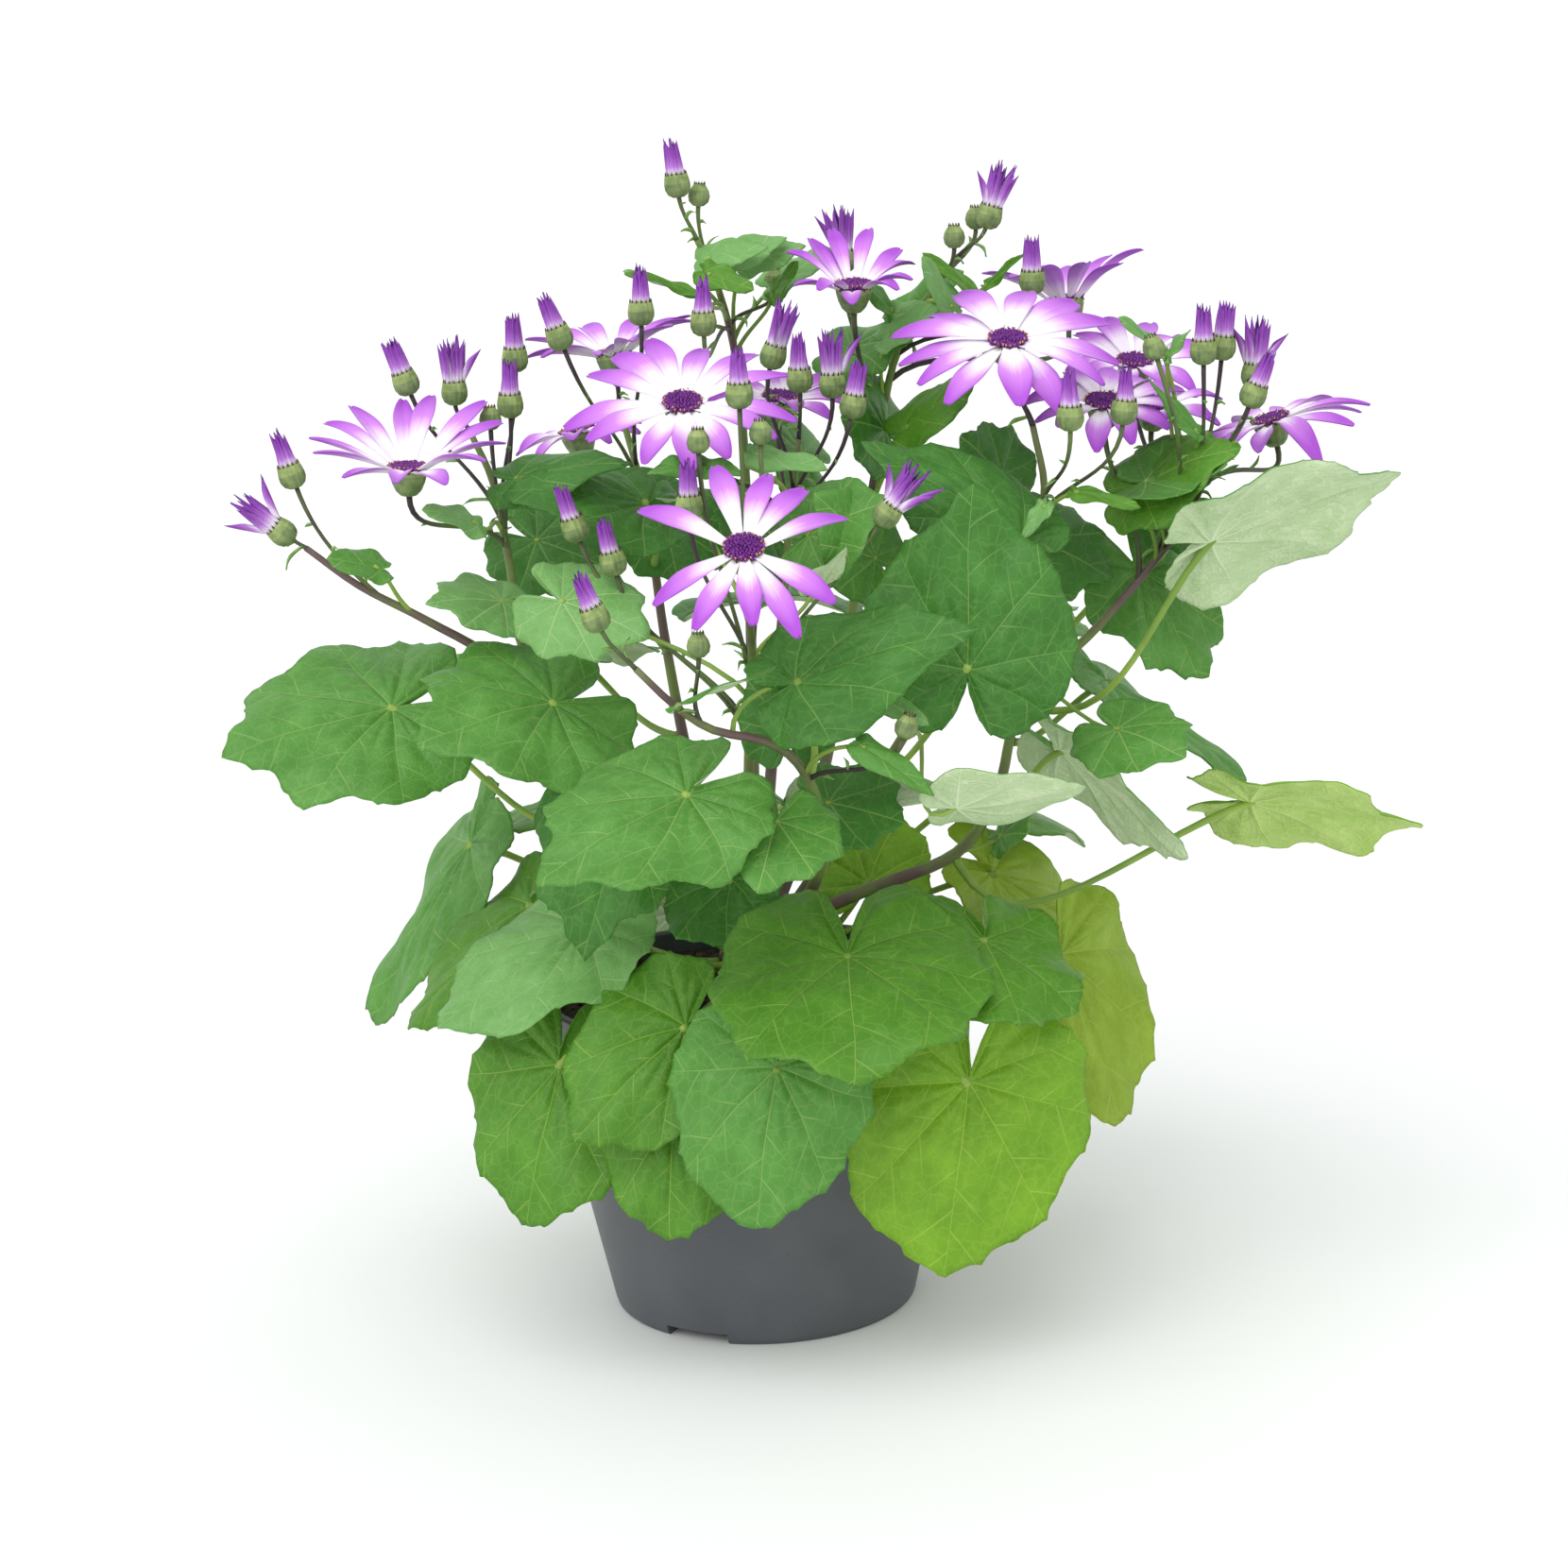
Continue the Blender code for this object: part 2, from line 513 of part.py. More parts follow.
def stem_path(plan):
    angle = radians(plan["angle"])
    ring = 0 if plan["angle"] == 0 else STEM_RING
    foot = (ring * cos(angle), ring * sin(angle), CROWN_TOP + GAP)
    above = (foot[0], foot[1], CROWN_TOP + 2 * ROOT_RUN)
    return smooth_path([vec(foot), vec(above), *map(vec, plan["route"])])


def stem(name, plan, path, collection, joined, finish):
    """One flowering stem with its stalks, buds and the small leaves between them, grown together."""
    made = tube(name, path, STEM_RADIUS, STEM_TOP_RADIUS, collection, finish)
    parts = bpy.data.collections.new(name + "_shoots")
    joined.children.link(parts)
    for i, (kind, foot, way, share) in enumerate(plan["shoots"]):
        axis = Vector(way).normalized()
        root, heading = point_along(path, share)
        base = vec(foot)
        leave = heading + (base - root).normalized() * STALK_SPREAD
        stalk = bow(root, leave, base + axis * MM, axis, count=3)
        helper(tube(f"{name}_stalk_{i}", stalk, STALK_RADIUS, STALK_RADIUS, parts, sides=0))
        bud = helper(turned(f"{name}_bud_{i}", BUD_PROFILES[kind], parts, BUD_SIDES))
        bud.matrix_world = Matrix.Translation(base) @ upright(axis)
    for name_end, (head_stem, share, middle, way, *_) in HEADS.items():
        if head_stem != name:
            continue
        axis = Vector(way).normalized()
        root, heading = point_along(path, share)
        base = vec(middle) - axis * (HEAD_BOTTOM + GAP) * MM
        leave = heading + (base - root).normalized() * STALK_SPREAD
        stalk = [*bow(root, leave, base - axis * ROOT_RUN * MM, axis), base]
        helper(tube(f"{name}_to_{name_end}", stalk, STALK_RADIUS * 1.1, STALK_RADIUS * 1.5, parts))
    for i, (kind, share, joint, tip, facing, width, cup) in enumerate(plan["leaves"]):
        root, heading = point_along(path, share)
        joint, tip = vec(joint), vec(tip)
        along, _, up = blade_frame(joint, tip, Vector(facing))
        helper(blade(f"{name}_{kind}_{i}", joint, tip, Vector(facing), width, cup, parts, rings=0))
        end = joint + up * BLADE_GRIP * MM
        path_in = bow(root, heading + (joint - root).normalized(), end, along * 0.7 + up * 0.4, count=3)
        helper(tube(f"{name}_{kind}_stalk_{i}", path_in, STALK_RADIUS, STALK_RADIUS, parts, sides=0))
    return made, parts


def head(name, plan, collection, joined, finish):
    """An open flower head: a star of thin rays joined to the cup and disc."""
    _, _, middle, way, length, count, lift = plan
    axis = Vector(way).normalized()
    bm = bmesh.new()
    bmesh.ops.create_circle(bm, segments=3 * count, radius=1, cap_ends=True, cap_tris=True)
    ring = sorted((v for v in bm.verts if v.co.length > 0.5), key=lambda v: atan2(v.co.y, v.co.x))
    for i, vert in enumerate(ring):
        ray, corner = divmod(i, 3)
        turn = 2 * pi * (ray + (0, 0.5 - RAY_SPREAD, 0.5 + RAY_SPREAD)[corner]) / count
        reach = RAY_ROOT if corner == 0 else length
        vert.co = (reach * MM * cos(turn), reach * MM * sin(turn), (0 if corner == 0 else lift) * MM)
    made = add_object(name, mesh_of(name, bm), collection, finish)
    made.matrix_world = Matrix.Translation(vec(middle)) @ upright(axis)
    solidify(made, RAY_THICKNESS)
    cup = helper(turned(name + "_cup", HEAD_PROFILE, joined, HEAD_SIDES))
    cup.matrix_world = made.matrix_world
    return made, cup


def leaf(name, plan, paths, collection, joined, finish):
    """A blade and its petiole, whose root stops just short of what carries it."""
    carrier, arch, joint, tip, facing, width, cup = plan
    joint, tip = vec(joint), vec(tip)
    along, _, up = blade_frame(joint, tip, Vector(facing))
    if carrier[0] == "crown":
        angle = radians(carrier[1])
        outward = Vector((cos(angle), sin(angle), 0))
        root = outward * (CROWN_RADIUS + GAP) * MM + Vector((0, 0, carrier[2] * MM))
    else:
        path = paths[carrier[0]]
        middle, heading = point_along(path, carrier[1])
        outward = joint - middle
        outward = (outward - heading * outward.dot(heading)).normalized()
        radius = STEM_RADIUS + (STEM_TOP_RADIUS - STEM_RADIUS) * carrier[1]
        root = middle + outward * (radius + GAP) * MM
    made = blade(name, joint, tip, Vector(facing), width, cup, collection, finish)
    stalk = helper(petiole(name + "_petiole", root, outward, joint, along, up, arch, joined))
    return made, stalk


def main():
    for old in list(bpy.data.objects):
        bpy.data.objects.remove(old)
    scene = bpy.context.scene
    collection = bpy.data.collections.new(PLANT)
    joined = bpy.data.collections.new("joined_and_cut")
    scene.collection.children.link(collection)
    scene.collection.children.link(joined)
    grey = material("pot_plastic", (0.11, 0.12, 0.13), 0.55)
    peat = material("peat", (0.02, 0.013, 0.009), 0.95)
    wood = material("woody_stub", (0.09, 0.07, 0.05), 0.8)
    bark = material("stem_skin", (0.1, 0.08, 0.07), 0.6)
    green = material("leaf_green", (0.06, 0.2, 0.035), 0.5)
    purple = material("ray_purple", (0.42, 0.06, 0.62), 0.6)
    paths = {name: stem_path(plan) for name, plan in STEMS.items()}
    grown = [stem(name, plan, paths[name], collection, joined, bark) for name, plan in STEMS.items()]
    grown += [head(name, plan, collection, joined, purple) for name, plan in HEADS.items()]
    grown += [leaf(name, plan, paths, collection, joined, green) for name, plan in LEAVES.items()]
    for made, shoots in grown:
        boolean(made, "UNION", shoots)
    pot(collection, joined, grey)
    soil(collection, peat)
    crown(collection, wood)


main()
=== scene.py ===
# Florist cineraria in its nursery pot: the finished surfaces.
# Places in the plans below are millimetres: x to the right, y away from the front, z up.

from math import atan2, cos, exp, pi, radians, sin, sqrt

import bmesh
import bpy
from mathutils import Matrix, Vector, noise


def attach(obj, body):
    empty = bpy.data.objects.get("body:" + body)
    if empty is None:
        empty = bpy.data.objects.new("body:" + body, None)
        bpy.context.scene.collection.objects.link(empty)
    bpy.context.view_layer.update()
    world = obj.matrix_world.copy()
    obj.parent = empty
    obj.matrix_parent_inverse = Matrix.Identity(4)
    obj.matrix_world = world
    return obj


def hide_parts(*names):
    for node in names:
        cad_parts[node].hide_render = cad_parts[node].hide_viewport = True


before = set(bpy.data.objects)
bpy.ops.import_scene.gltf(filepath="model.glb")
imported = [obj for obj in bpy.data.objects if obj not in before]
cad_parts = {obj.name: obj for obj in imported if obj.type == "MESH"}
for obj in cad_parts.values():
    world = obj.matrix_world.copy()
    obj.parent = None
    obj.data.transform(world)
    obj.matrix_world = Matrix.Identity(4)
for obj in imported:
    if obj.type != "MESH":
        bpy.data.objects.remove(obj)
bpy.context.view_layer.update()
mm = 0.001
noise.seed_set(7)  # without it, noise_vector would start from the clock


def linearColour(hexValue):
    channels = [int(hexValue[i:i + 2], 16) / 255 for i in (1, 3, 5)]
    return (*[c / 12.92 if c <= 0.04045 else ((c + 0.055) / 1.055) ** 2.4 for c in channels], 1)


def addNode(tree, kind, settings=None, links=None):
    node = tree.nodes.new(kind)
    for name, value in (settings or {}).items():
        if isinstance(name, int) or name in node.inputs:
            node.inputs[name].default_value = value
        else:
            setattr(node, name, value)
    for name, source in (links or {}).items():
        output = source.outputs[0] if isinstance(source, bpy.types.Node) else source
        tree.links.new(output, node.inputs[name])
    return node


def newFinish(name, roughness, **sockets):
    finish = bpy.data.materials.new(name)
    finish.use_nodes = True
    shader = finish.node_tree.nodes["Principled BSDF"]
    shader.inputs["Roughness"].default_value = roughness
    for socket, value in sockets.items():
        shader.inputs[socket.replace("_", " ")].default_value = value
    return finish, finish.node_tree, shader


def newObject(name, bm, finishes=()):
    mesh = bpy.data.meshes.new(name)
    bm.to_mesh(mesh)
    bm.free()
    for finish in finishes:
        mesh.materials.append(finish)
    made = bpy.data.objects.new(name, mesh)
    bpy.context.scene.collection.objects.link(made)
    return made


def addPiece(name, bm, finishes, slot, *replaced):
    piece = newObject(name, bm, finishes)
    piece.data.shade_smooth()
    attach(piece, "root")
    if replaced:
        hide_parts(*replaced)
    return piece


def addSheet(piece, thickness):
    shell = piece.modifiers.new("thickness", "SOLIDIFY")
    shell.thickness = thickness * mm
    shell.offset = 0
    shell.material_offset = 1
    return piece


def takeShape(bm, thing, firstIndex=0):
    # The object's mesh, with its modifiers in it, goes into bm. Its finishes start at firstIndex.
    graph = bpy.context.evaluated_depsgraph_get()
    mesh = bpy.data.meshes.new_from_object(thing.evaluated_get(graph))
    for polygon in mesh.polygons:
        polygon.material_index += firstIndex
    bm.from_mesh(mesh)
    for spare in (mesh, thing.data):  # the object goes with its mesh
        bpy.data.meshes.remove(spare)


def facesOf(verts):
    return list({face for vert in verts for face in vert.link_faces})


def paint(faces, index):
    for face in faces:
        face.material_index = index


# Repeatable chance: the same seed always gives the same number
def chance(seed):
    return (sin(seed * 12.9898 + 4.1) * 43758.5453) % 1


def swing(seed, size):
    return (chance(seed) * 2 - 1) * size


def vec(place):
    return Vector(place) * mm


def onRing(turn, radius, height):
    return Matrix.Rotation(turn, 4, "Z") @ Matrix.Translation(vec((radius, 0, height)))


def upright(middle, way):
    # A frame at middle whose z axis points along way
    axis = Vector(way).normalized()
    return Matrix.Translation(middle) @ Vector((0, 0, 1)).rotation_difference(axis).to_matrix().to_4x4()


# Curves: a smooth route through points, and a bow between two points whose ends keep their way for a share
# of the distance
bowReach = 0.38


def smoothPath(points, step):
    ends = [points[0] * 2 - points[1], *points, points[-1] * 2 - points[-2]]
    path = []
    for before, start, stop, after in zip(ends, ends[1:], ends[2:], ends[3:]):
        count = max(1, round((stop - start).length / (step * mm)))
        for i in range(count):
            t = i / count
            path.append(0.5 * (2 * start + (stop - before) * t
                               + (2 * before - 5 * start + 4 * stop - after) * t * t
                               + (3 * start - before - 3 * stop + after) * t ** 3))
    return [*path, points[-1]]


def bow(start, startWay, end, endWay, count=10):
    span = (end - start).length * bowReach
    first = start + startWay.normalized() * span
    second = end - endWay.normalized() * span
    path = []
    for i in range(count + 1):
        t = i / count
        left = 1 - t
        path.append(start * left ** 3 + first * 3 * t * left ** 2 + second * 3 * t * t * left + end * t ** 3)
    return path


def pointAlong(path, share):
    lengths = [(b - a).length for a, b in zip(path, path[1:])]
    left = share * sum(lengths)
    for a, b, length in zip(path, path[1:], lengths):
        if left <= length:
            return a + (b - a) * (left / length), (b - a).normalized()
        left -= length
    return path[-1], (path[-1] - path[-2]).normalized()


def nextRing(bm, edges):
    # The ring extruded once: its new points, its new outer edges and the faces between
    grown = bmesh.ops.extrude_edge_only(bm, edges=edges)["geom"]
    verts = [part for part in grown if isinstance(part, bmesh.types.BMVert)]
    faces = [part for part in grown if isinstance(part, bmesh.types.BMFace)]
    rest = [part for part in grown if isinstance(part, bmesh.types.BMEdge)]
    return verts, [edge for edge in rest if all(vert in verts for vert in edge.verts)], faces


def addTube(bm, path, radii, sides, finishIndex=0):
    # A round tube: a ring extruded along the path. The radii hold for evenly spread shares of its length.
    way = (path[1] - path[0]).normalized()
    turn = Vector((0, 0, 1)).rotation_difference(way)
    verts = bmesh.ops.create_circle(bm, cap_ends=True, segments=sides, radius=1)["verts"]
    faces = facesOf(verts)
    edges = list({edge for vert in verts for edge in vert.link_edges})
    last = Matrix()
    for i, centre in enumerate(path):
        ahead = (path[min(i + 1, len(path) - 1)] - path[max(i - 1, 0)]).normalized()
        turn = way.rotation_difference(ahead) @ turn
        way = ahead
        at = i / (len(path) - 1) * (len(radii) - 1)
        low = min(int(at), len(radii) - 2)
        radius = (radii[low] + (radii[low + 1] - radii[low]) * (at - low)) * mm
        if i:
            verts, edges, wall = nextRing(bm, edges)
            faces += wall
        here = Matrix.Translation(centre) @ turn.to_matrix().to_4x4() @ Matrix.Scale(radius, 4)
        bmesh.ops.transform(bm, matrix=here @ last.inverted(), verts=verts)
        last = here
    faces += bmesh.ops.contextual_create(bm, geom=edges)["faces"]
    bmesh.ops.recalc_face_normals(bm, faces=faces)
    paint(faces, finishIndex)


def spun(bm, profile, steps):
    # A profile of radii and heights turned round the z axis. Its doubled points are merged.
    before = set(bm.verts)
    start = [bm.verts.new(vec((radius, 0, height))) for radius, height in profile]
    edges = [bm.edges.new(pair) for pair in zip(start, start[1:])]
    bmesh.ops.spin(bm, geom=[*start, *edges], axis=(0, 0, 1), cent=(0, 0, 0), steps=steps, angle=2 * pi,
                   use_merge=True)
    bmesh.ops.remove_doubles(bm, verts=[vert for vert in bm.verts if vert not in before], dist=0.03 * mm)
    made = [vert for vert in bm.verts if vert not in before]
    bmesh.ops.recalc_face_normals(bm, faces=facesOf(made))
    return made


def mottledFinish(name, low, high, grain, roughness=0.6, detail=3.0, span=(0.35, 0.65), bump=(0.3, 0.2),
                  ridges=None):
    # Two tones that wander into each other over a grain given in mm. The bump, a strength and a depth in mm,
    # follows the same grain, or fine ridges along the stalk where their spacing is given.
    finish, tree, shader = newFinish(name, roughness)
    place = addNode(tree, "ShaderNodeTexCoord").outputs["Object"]
    patch = addNode(tree, "ShaderNodeTexNoise", {"Scale": 1 / (grain * mm), "Detail": detail},
                    {"Vector": place})
    share = addNode(tree, "ShaderNodeMapRange", {1: span[0], 2: span[1]}, {0: patch})
    skin = addNode(tree, "ShaderNodeMix",
                   {"data_type": "RGBA", "A": linearColour(low), "B": linearColour(high)}, {"Factor": share})
    tree.links.new(skin.outputs["Result"], shader.inputs["Base Color"])
    if ridges:
        along = addNode(tree, "ShaderNodeMapping", {"Scale": (1.0, 1.0, 0.12)}, {"Vector": place})
        patch = addNode(tree, "ShaderNodeTexNoise", {"Scale": 1 / (ridges * mm), "Detail": 2.0},
                        {"Vector": along})
    relief = addNode(tree, "ShaderNodeBump", {"Strength": bump[0], "Distance": bump[1] * mm},
                     {"Height": patch})
    tree.links.new(relief.outputs["Normal"], shader.inputs["Normal"])
    return finish


# Stems, heads and leaves follow the plans of the solids. A stem has its angle on the crown and its route,
# shoots (kind of bud, foot, way, share of the stem) and small leaves (share, joint, tip, facing, width,
# cupping).
stems = {
    "stem_far_left": {
        "angle": 196,
        "route": [(-38, -12, 186), (-66, -22, 226), (-90, -30, 262), (-116, -35, 281), (-140, -36, 295),
                  (-159, -36, 310)],
        "shoots": [
            ("half", (-163, -37, 313), (-7, -1, 6), 1.0),
            ("closed", (-161, -35, 332), (-3, 0, 10), 0.86),
        ],
        "leaves": [(0.8, (-132, -48, 304), (-149, -55, 309), (0, -6, 8), 26, 2)],
    },
    "stem_left": {
        "angle": 160,
        "route": [(-40, 5, 192), (-64, 2, 230), (-83, -3, 262), (-87, 0, 295), (-92, 6, 325), (-100, 8, 345)],
        "shoots": [
            ("half", (-105, 8, 355), (0, 0, 10), 1.0),
            ("closed", (-121, 4, 360), (-3, 0, 9), 0.85),
            ("closed", (-84, 4, 350), (0, 0, 10), 0.8),
            ("green", (-91, -6, 347), (0, 0, 10), 0.78),
            ("closed", (-82, 14, 366), (0, 0, 10), 0.84),
        ],
        "leaves": [
            (0.55, (-88, -32, 287), (-114, -50, 291), (0, -6, 8), 34, 3),
            (0.82, (-96, -40, 318), (-114, -52, 325), (0, -5, 8), 22, 2),
        ],
    },
    "stem_back_left": {
        "angle": 122,
        "route": [(-20, 22, 196), (-30, 32, 255), (-36, 38, 310), (-44, 44, 345)],
        "shoots": [
            ("closed", (-62, -6, 376), (-3, 0, 9), 0.86),
            ("closed", (-33, -6, 384), (0, 0, 10), 0.9),
        ],
        "leaves": [],
    },
    "stem_front": {
        "angle": 254,
        "route": [(0, -38, 196), (2, -66, 240), (4, -82, 268), (4, -98, 286), (3, -112, 298)],
        "shoots": [
            ("closed", (-16, -92, 324), (0, 0, 10), 0.78),
            ("green", (-12, -88, 347), (0, 0, 10), 0.72),
            ("green", (10, -86, 349), (0, 0, 10), 0.72),
            ("closed", (3, -86, 362), (0, 0, 10), 0.7),
            ("closed", (-44, -62, 300), (-2, 0, 10), 0.62),
            ("closed", (-57, -56, 312), (-3, 0, 10), 0.6),
            ("half", (51, -74, 317), (6, -1, 8), 0.7),
        ],
        "leaves": [],
    },
    "stem_front_left": {
        "angle": 292,
        "route": [(18, -30, 164), (28, -58, 192), (26, -84, 218), (19, -104, 238), (8, -112, 248),
                  (-10, -118, 254), (-23, -122, 264), (-36, -124, 278)],
        "shoots": [
            ("closed", (-47, -126, 292), (-4, 0, 10), 1.0),
            ("green", (-14, -124, 281), (0, 0, 10), 0.86),
            ("green", (56, -125, 250), (3, 0, 10), 0.6),
        ],
        "leaves": [
            (0.9, (-22, -130, 266), (14, -114, 275), (0, 4, 9), 16, 1),
            (0.62, (42, -126, 248), (66, -138, 233), (2, -6, 8), 20, 2),
            (0.47, (11, -116, 220), (4, -144, 202), (0, -7, 7), 46, 4),
        ],
    },
    "stem_back": {
        "angle": 86,
        "route": [(2, 40, 200), (3, 62, 260), (3, 70, 320), (1, 64, 362), (-5, 46, 393), (-12, 34, 412)],
        "shoots": [
            ("closed", (-18, 30, 428), (-1, 0, 10), 1.0),
            ("green", (-11, 36, 424), (1, 0, 10), 0.95),
            ("closed", (-10, -4, 379), (0, 0, 10), 0.84),
            ("green", (17, 66, 388), (0, 0, 10), 0.85),
        ],
        "leaves": [
            (0.88, (-13, 20, 392), (-39, 5, 403), (0, -2, 10), 14, 1),
            (0.92, (0, 36, 404), (22, 44, 410), (0, -5, 8), 26, 2),
            (0.82, (17, 62, 392), (40, 60, 404), (0, -5, 8), 30, 2),
        ],
    },
    "stem_back_right": {
        "angle": 48,
        "route": [(28, 28, 198), (42, 44, 258), (54, 52, 318), (62, 48, 360), (76, 42, 386), (88, 38, 402)],
        "shoots": [
            ("half", (98, 34, 412), (3, 0, 10), 1.0),
            ("green", (95, 44, 411), (0, 0, 10), 0.96),
            ("green", (86, 34, 405), (0, 0, 10), 0.94),
            ("closed", (115, 28, 387), (0, 0, 10), 0.84),
            ("half", (44, 66, 394), (0, 0, 10), 0.72),
        ],
        "leaves": [
            (0.92, (84, 22, 384), (72, 12, 404), (0, -6, 7), 20, 2),
            (0.74, (60, 40, 372), (84, 34, 386), (0, -5, 8), 26, 2),
        ],
    },
    "stem_middle": {
        "angle": 0,
        "route": [(8, 4, 200), (14, 4, 258), (20, 2, 310), (24, -6, 340)],
        "shoots": [
            ("closed", (25, -15, 358), (0, 0, 10), 1.0),
            ("half", (14, -4, 366), (3, 0, 10), 0.9),
            ("half", (37, -18, 356), (0, 0, 10), 0.86),
            ("closed", (43, -32, 350), (2, 0, 10), 0.8),
        ],
        "leaves": [],
    },
    "stem_right_middle": {
        "angle": 328,
        "route": [(24, -12, 172), (44, -22, 204), (66, -30, 240), (92, -28, 282), (110, -26, 306),
                  (114, -28, 322), (110, -30, 345)],
        "shoots": [
            ("closed", (121, -64, 347), (0, 0, 10), 0.86),
            ("closed", (141, -52, 347), (1, 0, 10), 0.84),
        ],
        "leaves": [(0.6, (137, -58, 236), (160, -80, 230), (1, -7, 7), 40, 3)],
    },
    "stem_right": {
        "angle": 12,
        "route": [(44, 8, 160), (80, 8, 174), (96, 0, 200), (106, -6, 236), (135, -12, 266), (163, -14, 299),
                  (176, -26, 326)],
        "shoots": [
            ("closed", (173, -30, 365), (0, 0, 10), 0.94),
            ("closed", (181, -18, 365), (1, 0, 10), 0.92),
            ("half", (193, -16, 354), (1, 0, 10), 0.96),
            ("closed", (189, -32, 349), (4, 0, 10), 1.0),
            ("green", (154, -50, 370), (-3, 0, 10), 0.86),
        ],
        "leaves": [(0.86, (152, -22, 322), (180, -40, 330), (-1, -5, 8), 34, -4)],
    },
}

# Stem and share along it, middle of the disc, facing, ray length, number of rays, rise of the tips, ray width
# and white share
heads = {
    "flower_front": ("stem_front", 1.0, (3, -128, 319), (0, -50, 87), 40, 10, 0, 9.0, 0.0),
    "flower_centre": ("stem_middle", 0.82, (-18, -44, 359), (0, -42, 91), 42, 13, -1, 11, 0.03),
    "flower_left": ("stem_left", 0.8, (-120, -33, 337), (3, -6, 100), 38, 13, 4, 9, 0.02),
    "flower_right": ("stem_right_middle", 1.0, (102, -20, 375), (0, -36, 94), 43, 13, -4, 12, 0.04),
    "flower_back_left": ("stem_back_left", 1.0, (-46, 44, 368), (-1, 1, 10), 34, 12, 6, 8, -0.04),
    "flower_left_middle": ("stem_back_left", 0.8, (-63, 76, 334), (-2, 0, 10), 27, 11, -1, 9, 0.02),
    "flower_centre_back": ("stem_middle", 0.8, (18, 32, 350), (1, -2, 10), 29, 12, 2, 9, -0.1),
    "flower_back": ("stem_back_right", 0.7, (47, 29, 392), (1, -15, 99), 26, 11, 3, 8, -0.12),
    "flower_back_right": ("stem_back_right", 0.8, (131, 68, 380), (-1, 2, 10), 32, 12, 12, 9, -0.1),
    "flower_right_back": ("stem_right", 0.85, (156, 50, 357), (0, -25, 97), 31, 12, 1, 10, 0.05),
    "flower_right_low": ("stem_right", 0.8, (138, -14, 350), (-1, -30, 95), 30, 12, 0, 10, 0.02),
    "flower_right_middle": ("stem_right", 0.9, (160, 20, 344), (1, -2, 10), 28, 11, 2, 9, -0.02),
    "flower_far_right": ("stem_right", 0.97, (204, 16, 337), (-25, -5, 95), 36, 12, -3, 9, -0.1),
}

